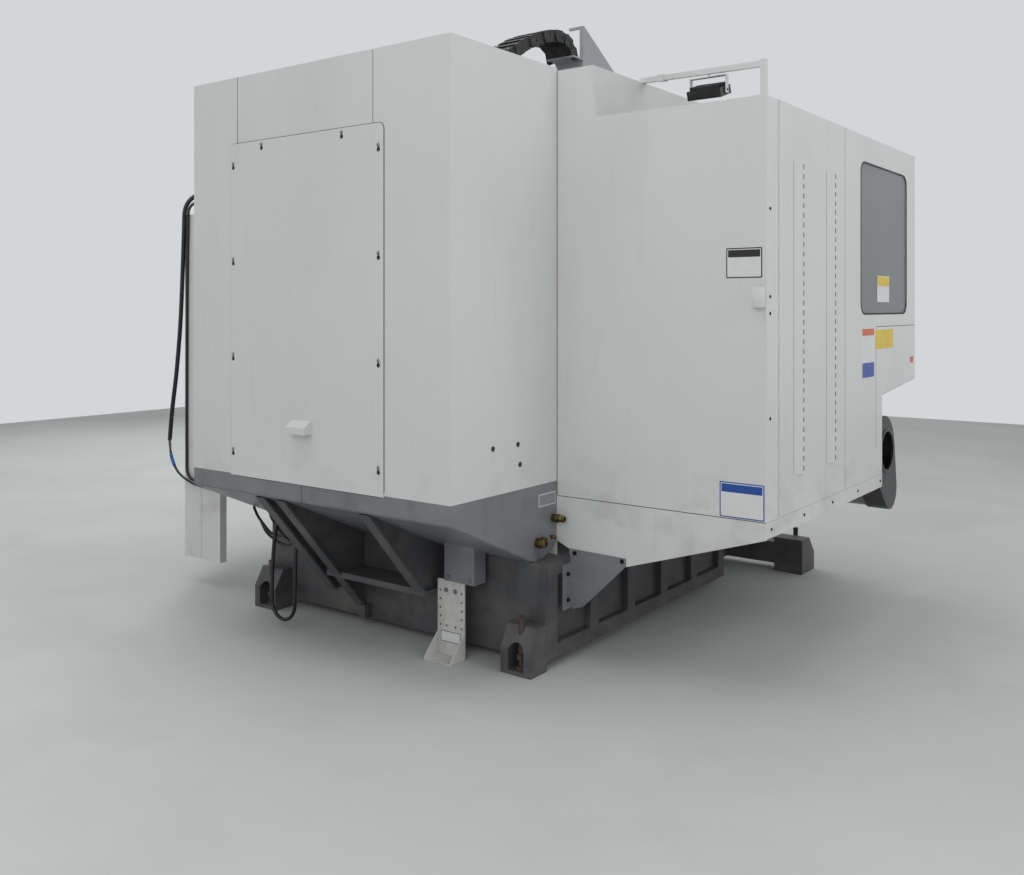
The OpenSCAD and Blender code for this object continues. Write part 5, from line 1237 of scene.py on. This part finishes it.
@dataclass
class Carrier:
    """Cable carrier: links copied along one curve, with the hoses that they carry."""

    centre_x: float = -175.0
    width: float = 150.0
    tall: float = 56.0
    links: int = 17
    cheek: float = 6.5
    points: Profile = ((600, 2330), (560, 2470), (-40, 2820), (-79, 2586))
    fixed: Point = (-0.175, 0.63, 2.30)
    moving: Point = (-0.175, -0.11, 2.60)
    # Offset from the centre and radius of each hose.
    hoses: Profile = ((-44, 11), (-16, 9), (10, 12), (40, 8))

    def _at(self, t: float) -> Vector:
        """Returns the curve's point at t as Y and Z."""
        a, b, c, d = (Vector(p) for p in self.points)
        return a * (1 - t) ** 3 + b * 3 * t * (1 - t) ** 2 + c * 3 * t * t * (1 - t) + d * t ** 3

    def _link(self, length: float, inner: bool) -> Shape:
        """Returns one link, with its length along Y.

        Args:
            length: Pitch of the links.
            inner: True for a link whose plates sit inside its neighbours'.

        Returns:
            The link.
        """
        shape = Shape()
        half, h = self.width / 2 - (self.cheek if inner else 0.0), self.tall / 2
        reach = length / 2 + 9
        outline = [(-reach, -h * 0.45), (-reach + 8, -h), (reach - 8, -h), (reach, -h * 0.45),
                   (reach, h * 0.45), (reach - 8, h), (-reach + 8, h), (-reach, h * 0.45)]
        for s in SIDES:
            shape.lofted([[(s * x, y, z) for y, z in outline] for x in (half - self.cheek, half)])
            shape.turned((s * (half - 0.2), length / 2, 0), (s, 0, 0), [(0, 11), (1.6, 11), (2.2, 9)], 12)
        for z in (-h + 3, h - 3):
            shape.slab((-half + 6, -length * 0.24, z - 3), (2 * half - 12, 0, 0), (0, length * 0.48, 0),
                       (0, 0, 6))
            for x in (-half * 0.45, half * 0.45):
                shape.slab((x - 3, -length * 0.3, z - 3.6), (6, 0, 0), (0, length * 0.6, 0), (0, 0, 7.2))
        return shape

    def made(self) -> None:
        """Makes both kinds of link, the hoses inside and the bolts of the gusset plate."""
        line = [self._at(i / self.links) for i in range(self.links + 1)]
        pairs = list(zip(line, line[1:]))
        pitch = sum((b - a).length for a, b in pairs) / self.links
        spots = [Spot((self.centre_x, *((a + b) / 2)), (math.atan2(b.y - a.y, b.x - a.x), 0, 0))
                 for a, b in pairs]
        for first, name in enumerate(("carrier_outer_links", "carrier_inner_links")):
            link = self._link(pitch, bool(first))
            piece = Copies.made(name, None, link, spots[first::2], Soft.NYLON, turn=0.0)
            if not first:
                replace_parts(piece, "cable_carrier")
            bend(piece, "head")
        shape = Shape()
        path = [self._at(0.02 + 0.96 * i / 40) for i in range(41)]
        for k, (offset, radius) in enumerate(self.hoses):
            shape.tube([(self.centre_x + offset, p.x, p.y) for p in path], radius, 10, k % 2)
        hoses = shape.made("carried_hoses", [Soft.SHEATH, Soft.RUBBER_AND_SHADE])
        bend(hoses, "head")
        Copies.made("gusset_bolts", "head", Head.HEXAGON,
                    Spot.grid(UP, (-168,), (-170, -280, -400), (2136,))
                    + Spot.grid(UP, (-246, -106), (-88,), (2590,)), Metal.BLACK_SCREW, 1.1)


@dataclass
class Doors:
    """Front doors: seals round the panes, roses of the pulls and screws, and the opening's seal."""

    front: float = -1084.0
    frame_front: float = -1048.4
    # Middle, lower edge, width and height of the right door's pane, and its seal's width and corner.
    pane: tuple[float, ...] = (298, 1196, 412, 738, 12, 20)
    opening: tuple[float, ...] = (-560, 1070, 1120, 950, 10, 12)
    pull_x: float = 51.0
    pull_z: Point = (1384, 1656)
    screws_x: Point = (70, 526)
    screws_z: Point = (1080, 1140, 1990, 2026)

    def made(self) -> None:
        """Makes the dress of both doors and of their opening."""
        middle, low, wide, tall, width, round_mm = self.pane
        for s, body in zip(SIDES, ("left_door", "right_door")):
            seal, roses = Shape(), Shape()
            seal.rim((s * middle - wide / 2, self.front, low), wide, tall, -5, width, round_mm)
            seal.put(f"{body}_pane_seal", body, "bellows", Soft.RUBBER_AND_SHADE, soften=1.0)
            for z in self.pull_z:
                roses.turned((s * self.pull_x, self.front, z), FRONT, [(0, 15), (3, 15), (5, 11)], 20)
            roses.put(f"{body}_pull_roses", body, "steel", Metal.ALUMINIUM)
            spots = Spot.grid(FRONT, [s * x for x in self.screws_x], (self.front,), self.screws_z)
            Copies.made(f"{body}_screws", body, Head.PAN, spots, Metal.SCREW, 0.9)
        seal, (left, low, wide, tall, width, round_mm) = Shape(), self.opening
        seal.rim((left, self.frame_front, low), wide, tall, -1.6, width, round_mm)
        seal.put("door_opening_seal", "machine", "bellows", Soft.RUBBER_AND_SHADE)


@dataclass
class Pendant:
    """Operator pendant: screen, keys, collar, rings, dial marks and screws."""

    centre: float = 1390.0
    face: float = -1408.0
    top: float = 1740.0
    low: float = 1120.0
    # Left and lower edge, width and height of the screen.
    screen: tuple[float, ...] = (1263, 1471, 254, 208)
    stop_x: float = 1250.0
    buttons_x: Point = (1300, 1340)
    buttons_z: float = 1180.0
    dial: tuple[float, float] = (1480.0, 1200.0)
    marks: int = 20

    @staticmethod
    def _key(wide: float) -> Shape:
        """Returns a key cap with sloping sides.

        Args:
            wide: Width of its foot.

        Returns:
            The cap.
        """
        shape, half = Shape(), wide / 2
        shape.lofted([[(-s, -s, z), (s, -s, z), (s, s, z), (-s, s, z)]
                      for s, z in ((half, 0), (half, 1.2), (half - 1.6, 2.4))])
        return shape

    def _keys(self) -> None:
        """Makes the letter keys under the screen and the number keys beside them."""
        for name, left, drop, pitch, columns, rows, finish, wide in (
                ("letter_keys", -141, 321, 22, 9, 4, Soft.KEYCAP, 16.5),
                ("number_keys", 70, 322, 24, 4, 6, Soft.KEY_BLUE, 18.5)):
            spots = [Spot.facing((self.centre + left + c * pitch, self.face - 3, self.top - drop - r * 24),
                                 FRONT) for r in range(rows) for c in range(columns)]
            Copies.made(name, "pendant", self._key(wide), spots, finish, turn=0.0, slot="pendant_shell")

    def made(self) -> None:
        """Makes the dress of the pendant and of its controls."""
        screen, bezel, f, (left, low, wide, tall) = Shape(), Shape(), self.face, self.screen
        screen.plate((left, f - 1.1, low), wide, tall, -0.5, 0, 3)
        screen.put("screen", "pendant", "black_plastic", Soft.SCREEN, soften=0.5)
        bezel.rim((left, f - 1.4, low), wide, tall, -1.4, 6, 5)
        bezel.put("screen_bezel", "pendant", "black_plastic", Soft.BLACK_ABS, soften=0.5)
        self._keys()
        collar, rings, marks = Shape(), Shape(), Shape()
        collar.turned((self.stop_x, f, self.buttons_z), FRONT, [(0, 30), (1.6, 30), (2.2, 28.5)], 28)
        collar.put("emergency_collar", "pendant", "yellow", Paint.VINYL_YELLOW)
        for x in self.buttons_x:
            rings.turned((x, f, self.buttons_z), FRONT,
                         [(0, 11), (0, 15), (2.4, 15), (3, 13.6), (3, 11)], 20, hollow=True)
        dial_x, dial_z = self.dial
        rings.turned((dial_x, f, dial_z), FRONT, [(0, 52), (1.2, 52), (1.6, 50)], 36)
        rings.put("button_rings", "pendant", "steel", Metal.ALUMINIUM)
        for k in range(self.marks):
            w = 2 * math.pi * k / self.marks
            a, b = (Vector((dial_x + r * math.sin(w), f - 24.2, dial_z + r * math.cos(w)))
                    for r in (36, 42 if k % 5 else 34))
            marks.slab(a, b - a, (b - a).normalized().cross(Vector(REAR)) * 1.2, (0, -0.5, 0))
        marks.put("dial_marks", "jog_wheel", "white_panel", Paint.VINYL_WHITE)
        Copies.made("pendant_screws", "pendant", Head.PAN,
                    Spot.grid(FRONT, (self.centre - 178, self.centre + 178), (f,),
                              (self.low + 14, self.top - 14)),
                    Metal.SCREW, 0.7)


@dataclass
class Castings:
    """Bolts of the castings, the leg, the gusset brackets and the head, and the chute's mouth ring."""

    chute: Point = (-1500, -870, 690)
    chute_screws: int = 10
    chute_circle: float = 98.0

    def made(self) -> None:
        """Makes the bolts and the ring."""
        for name, finish, size, spots in (
                ("casting_bolts", Metal.BLACK_SCREW, 1.25, Spot.grid(UP, (-400, 400), (330, 470, 610), (400,))
                 + Spot.both(780, (-520, -226, 68, 362), (378,))),
                ("leg_bolts", Metal.SCREW, 0.85, Spot.grid(REAR, (-411, -365), (1020,), (260,))
                 + Spot.grid(REAR, (-490, -386), (1030,), (316,))),
                ("gusset_screws", Metal.BLACK_SCREW, 0.8,
                 [Spot.facing((s * x, 766, z), REAR) for s in SIDES for x, z in ((801, 418), (1012, 417))]
                 + Spot.both(784.3, (790,), (240, 340)))):
            Copies.made(name, "machine", Head.HEXAGON, spots, finish, size)
        ring, (x, y, z) = Shape(), self.chute
        ring.turned((x, y, z), LEFT, [(0, 91), (0, 106), (3, 106), (4, 104), (4, 91)], 40, hollow=True)
        ring.put("chute_mouth_ring", "machine", "black_plastic", Paint.BLACK)
        circle = [(math.cos(w) * self.chute_circle, math.sin(w) * self.chute_circle)
                  for w in (2 * math.pi * k / self.chute_screws for k in range(self.chute_screws))]
        Copies.made("chute_ring_screws", "machine", Head.PAN,
                    [Spot.facing((x - 4, y + dy, z + dz), LEFT) for dy, dz in circle], Metal.SCREW, 0.7)
        for name, size, spots in (
                ("head_plate_screws", 1.2, Spot.grid(FRONT, (-232, 232), (199,), (1740, 1850, 1960, 2070))),
                ("motor_screws", 1.0, Spot.grid(UP, (-108, 108), (-440, -220), (2430,)))):
            Copies.made(name, "head", Head.SOCKET, spots, Metal.BLACK_SCREW, size)


@dataclass
class Cabinet:
    """Electrical cabinet: latches, vent louvres and the main switch's ring on its door."""

    front: float = 968.0
    latch_x: float = 1300.0
    latches: Point = (760, 1610)
    louvre_ends: Point = (960, 1140)
    louvre_low: float = 700.0
    louvre_pitch: float = 16.0
    louvre_count: int = 9
    switch: tuple[float, float] = (1282, 1233)

    def made(self) -> None:
        """Makes the dress of the cabinet door."""
        latches, louvres, ring, y = Shape(), Shape(), Shape(), self.front
        for z in self.latches:
            latches.turned((self.latch_x, y, z), REAR, [(0, 13), (3, 13), (4, 11)], 20)
            latches.plate((self.latch_x - 3, y + 4, z - 9), 6, 18, 4, 1, 2.5)
        latches.put("cabinet_latches", "cabinet_door", "steel", Metal.ALUMINIUM, Soft.BLACK_ABS)
        for k in range(self.louvre_count):
            z = self.louvre_low + k * self.louvre_pitch
            louvres.lofted([[(x, y - 0.4, z), (x, y + 5, z), (x, y - 0.4, z + 10)] for x in self.louvre_ends])
        louvres.put("cabinet_louvres", "cabinet_door", "white_panel", Paint.WHITE)
        ring.turned((self.switch[0], y, self.switch[1]), REAR,
                    [(0, 25), (0, 32), (0.3, 32), (0.5, 31.4), (0.5, 25)], 32, hollow=True)
        ring.put("switch_plate", "cabinet_door", "yellow", Paint.VINYL_YELLOW)


class Face(IntEnum):
    """Finishes of the cabinet's modules, numbered as Modules.finishes is."""

    BLACK = 0
    GREY = 1
    GREEN = 2
    BLUE = 3


@dataclass
class Modules:
    """What shows when the cabinet door is open: faces of the modules, duct lids and wiring.

    Places are counted from the inner lower left corner of the back plate.
    """

    corner: Point = (800, 768, 565)
    finishes: tuple[Finish, ...] = (Soft.BLACK_ABS, Soft.ABS, Soft.WIRE_GREEN, Soft.KEY_BLUE)
    # Rows of modules: count, pitch, and per plate its corner, width, height, depth, finish and radius.
    rows: tuple[tuple, ...] = (
        (4, 124, (((46, 120, 851), 84, 13, 9, Face.GREEN, 2), ((46, 120, 1123), 84, 22, 3, Face.BLACK, 3),
                  ((54, 123, 1128), 34, 12, 1, Face.GREY, 1))),
        (7, 70, (((43, 70, 264), 50, 62, 5, Face.BLACK, 3), ((49, 75, 286), 14, 20, 7, Face.GREY, 2),
                 ((71, 75, 286), 14, 20, 7, Face.GREY, 2))),
        (1, 0, (((72, 120, 574), 136, 132, 12, Face.BLACK, 10),)),
        (6, 21, (((78, 132, 580), 16, 14, 5, Face.GREEN, 2),)),
        (8, 30, (((284, 100, 554), 27, 182, 6, Face.BLUE, 2), ((290, 106, 566), 15, 60, 5, Face.BLACK, 2))))
    grey_cards: Point = (0, 2, 3, 6, 7)
    ducts: Point = (160, 480, 778)
    # Wires: modules and their pitch, wires of each and their pitch, first X, and the route.
    wires: tuple[tuple, ...] = (
        (4, 124, 3, 24, 62, ((0, 126, 858), (0, 133, 844), (3, 118, 828), (4, 74, 822), (4, 38, 819))),
        (7, 70, 2, 22, 56, ((0, 62, 244), (0, 66, 228), (0, 46, 212), (0, 34, 198))))

    def _place(self, point: Point, shift: float = 0.0) -> Point:
        """Returns a place of the back plate in the frame's axes, moved along X."""
        return tuple(c + p + d for c, p, d in zip(self.corner, point, (shift, 0, 0)))

    def _faces(self) -> Shape:
        """Adds up terminal strips, windows, toggles and card fronts.

        Returns:
            The shape of all faces.
        """
        shape = Shape()
        for count, pitch, plates in self.rows:
            for k in range(count):
                for point, wide, tall, thick, kind, round_mm in plates:
                    kind = Face.GREY if kind is Face.BLUE and k in self.grey_cards else kind
                    shape.plate(self._place(point, k * pitch), wide, tall, thick, kind, round_mm)
        return shape

    def made(self) -> None:
        """Makes the faces, the lids of the cable ducts, dark strips of painted shade in the slots of their
        combs, and the wires.
        """
        self._faces().put("module_faces", "machine", "black_plastic", *self.finishes, soften=0.4)
        lids, wires = Shape(), Shape()
        for z in self.ducts:
            lids.plate(self._place((8, 50, z - 2)), 554, 44, 3, 0, 2)
        lids.put("duct_lids", "machine", "pendant_shell", Soft.ABS, soften=0.4)
        # Dark strips in the combs' open slots: painted shade.
        comb_slot_shades = [Spot.facing(self._place((22 + 16 * i, 30, z + lift)), (0, 0, 1 if lift else -1))
                 for z, lift in zip(self.ducts, (40, 0, 40)) for i in range(34)]
        Copies.made("duct_combs", "machine", slot_shade(), comb_slot_shades, Soft.RUBBER_AND_SHADE, turn=0.0, slot="black_plastic")
        for count, pitch, each, step, first, route in self.wires:
            for i, k in product(range(count), range(each)):
                path = [self._place(p, first + i * pitch + k * step) for p in route]
                wires.tube(Cabling.smooth(path, 3), 2.6, 6, (i + k) % 3)
        wires.put("cabinet_wires", "machine", "cable", Soft.WIRE_RED, Soft.WIRE_WHITE, Soft.SHEATH)


@dataclass
class Nozzles:
    """Jointed coolant hoses beside the spindle nose."""

    axis_y: float = -330.0
    # X, distance from the axis and Z along a hose.
    route: Points = ((128, 40, 1700), (134, 40, 1672), (122, 34, 1645), (96, 24, 1622))

    def made(self) -> None:
        """Makes two hoses of ball-shaped segments that end in a slim nozzle."""
        shape = Shape()
        for k, side in enumerate(SIDES):
            path = Cabling.smooth([(x, self.axis_y + d * side, z) for x, d, z in self.route], 4)
            for a, b in zip(path[:-1], path[1:]):
                n = (b - a).length
                shape.turned(a, b - a, [(0, 5), (n * 0.25, 8.5), (n * 0.6, 9), (n * 0.95, 7), (n, 6)], 12, k)
            shape.turned(path[-1], path[-1] - path[-2], [(0, 6), (4, 8), (9, 7), (24, 3.4)], 12, 2)
        shape.put("coolant_nozzles", "head", "black_plastic", Soft.KEY_BLUE, Soft.KEY_BLUE, Soft.YELLOW)


@dataclass
class CableEnds:
    """Glands at the walls, and the taped joint with its bare wires."""

    # X, Z and radius of the conduits at the rear wall, and Y, Z and radius of those at the skirt.
    wall_ends: Points = ((1374, 1941, 11.5), (1352, 1898, 7))
    skirt_ends: Points = ((1010, 540, 6), (990, 518, 7))
    wall: float = 762.0
    skirt: float = 714.0
    joint: Points = ((1482, 990.4, 632), (1466, 991, 600), (1450, 992, 578))
    # Middle of the bundle of bare wires, and how far each wire stands off it: a share and a height.
    bundle: tuple[tuple[float, float, float, float], ...] = (
        (1490, 0.5, 0.5, 716), (1490, 2, 1.4, 694), (1488, 2, 1.4, 668), (1486, 0.5, 0.5, 642))
    spread: Profile = ((-5, 2), (4, -3), (0, 5))

    def made(self) -> None:
        """Makes the ends of the conduits."""
        glands, wires, tape = Shape(), Shape(), Shape()
        for x, z, r in self.wall_ends:
            glands.turned((x, self.wall, z), REAR,
                          [(0, r + 7), (5, r + 7), (6, r + 5), (16, r + 4), (18, r + 1)], 18)
        for y, z, r in self.skirt_ends:
            glands.turned((self.skirt, y, z), (1, 0, 0),
                          [(0, r + 5), (4, r + 5), (5, r + 3), (12, r + 2), (13, r + 0.8)], 14)
        glands.put("cable_glands", "machine", "black_plastic", Soft.BLACK_ABS)
        for k, (dx, dy) in enumerate(self.spread):
            path = [(x + dx * wide, 990 + dy * deep, z) for x, wide, deep, z in self.bundle]
            wires.tube(Cabling.smooth(path, 6), 2.3, 8, k)
        wires.put("bared_wires", "machine", "cable", Soft.WIRE_GREEN, Soft.WIRE_RED, Soft.WIRE_WHITE)
        line = Cabling.smooth(self.joint, 6)
        for k, pair in enumerate(zip(line, line[1:])):
            tape.tube(pair, 8.4 if k % 2 else 7.6)
        tape.put("taped_joint", "machine", "cable", Paint.BLUE_TAPE)


@dataclass
class Lamp:
    """Work lamp: its lens and the seal round it, under the tilted housing."""

    axis: Point = (-1279.8, 585.6, 2176.2)
    tilt_deg: float = -19.0

    def made(self) -> None:
        """Makes the lens and its seal."""
        turn = Matrix.Rotation(math.radians(self.tilt_deg), 4, "X")
        lens, seal = Shape(), Shape()
        lens.slab((-60, -38, -12), (120, 0, 0), (0, 76, 0), (0, 0, 3), 0, 6)
        seal.frame_ring((-62, -40, -19), (124, 0, 0), (0, 80, 0), (0, 0, 3), 4, 5)
        for shape, name, slot, finish in ((lens, "lamp_lens", "lamp", Soft.LENS),
                                          (seal, "lamp_seal", "bellows", Soft.RUBBER_AND_SHADE)):
            shape.corners = [Vector(self.axis) + turn @ c for c in shape.corners]
            shape.put(name, "work_lamp", slot, finish)


def main() -> None:
    """Builds the looks."""
    logging.basicConfig(level=logging.INFO, format="%(message)s")
    for group in (Studio, Cabling, CadFinishes, Housing, Walls, Placards, Fittings, WayCovers, Carrier, Doors,
                  Pendant, Castings, Cabinet, Modules, Nozzles, CableEnds, Lamp):
        group().made()


if __name__ == "__main__":
    main()
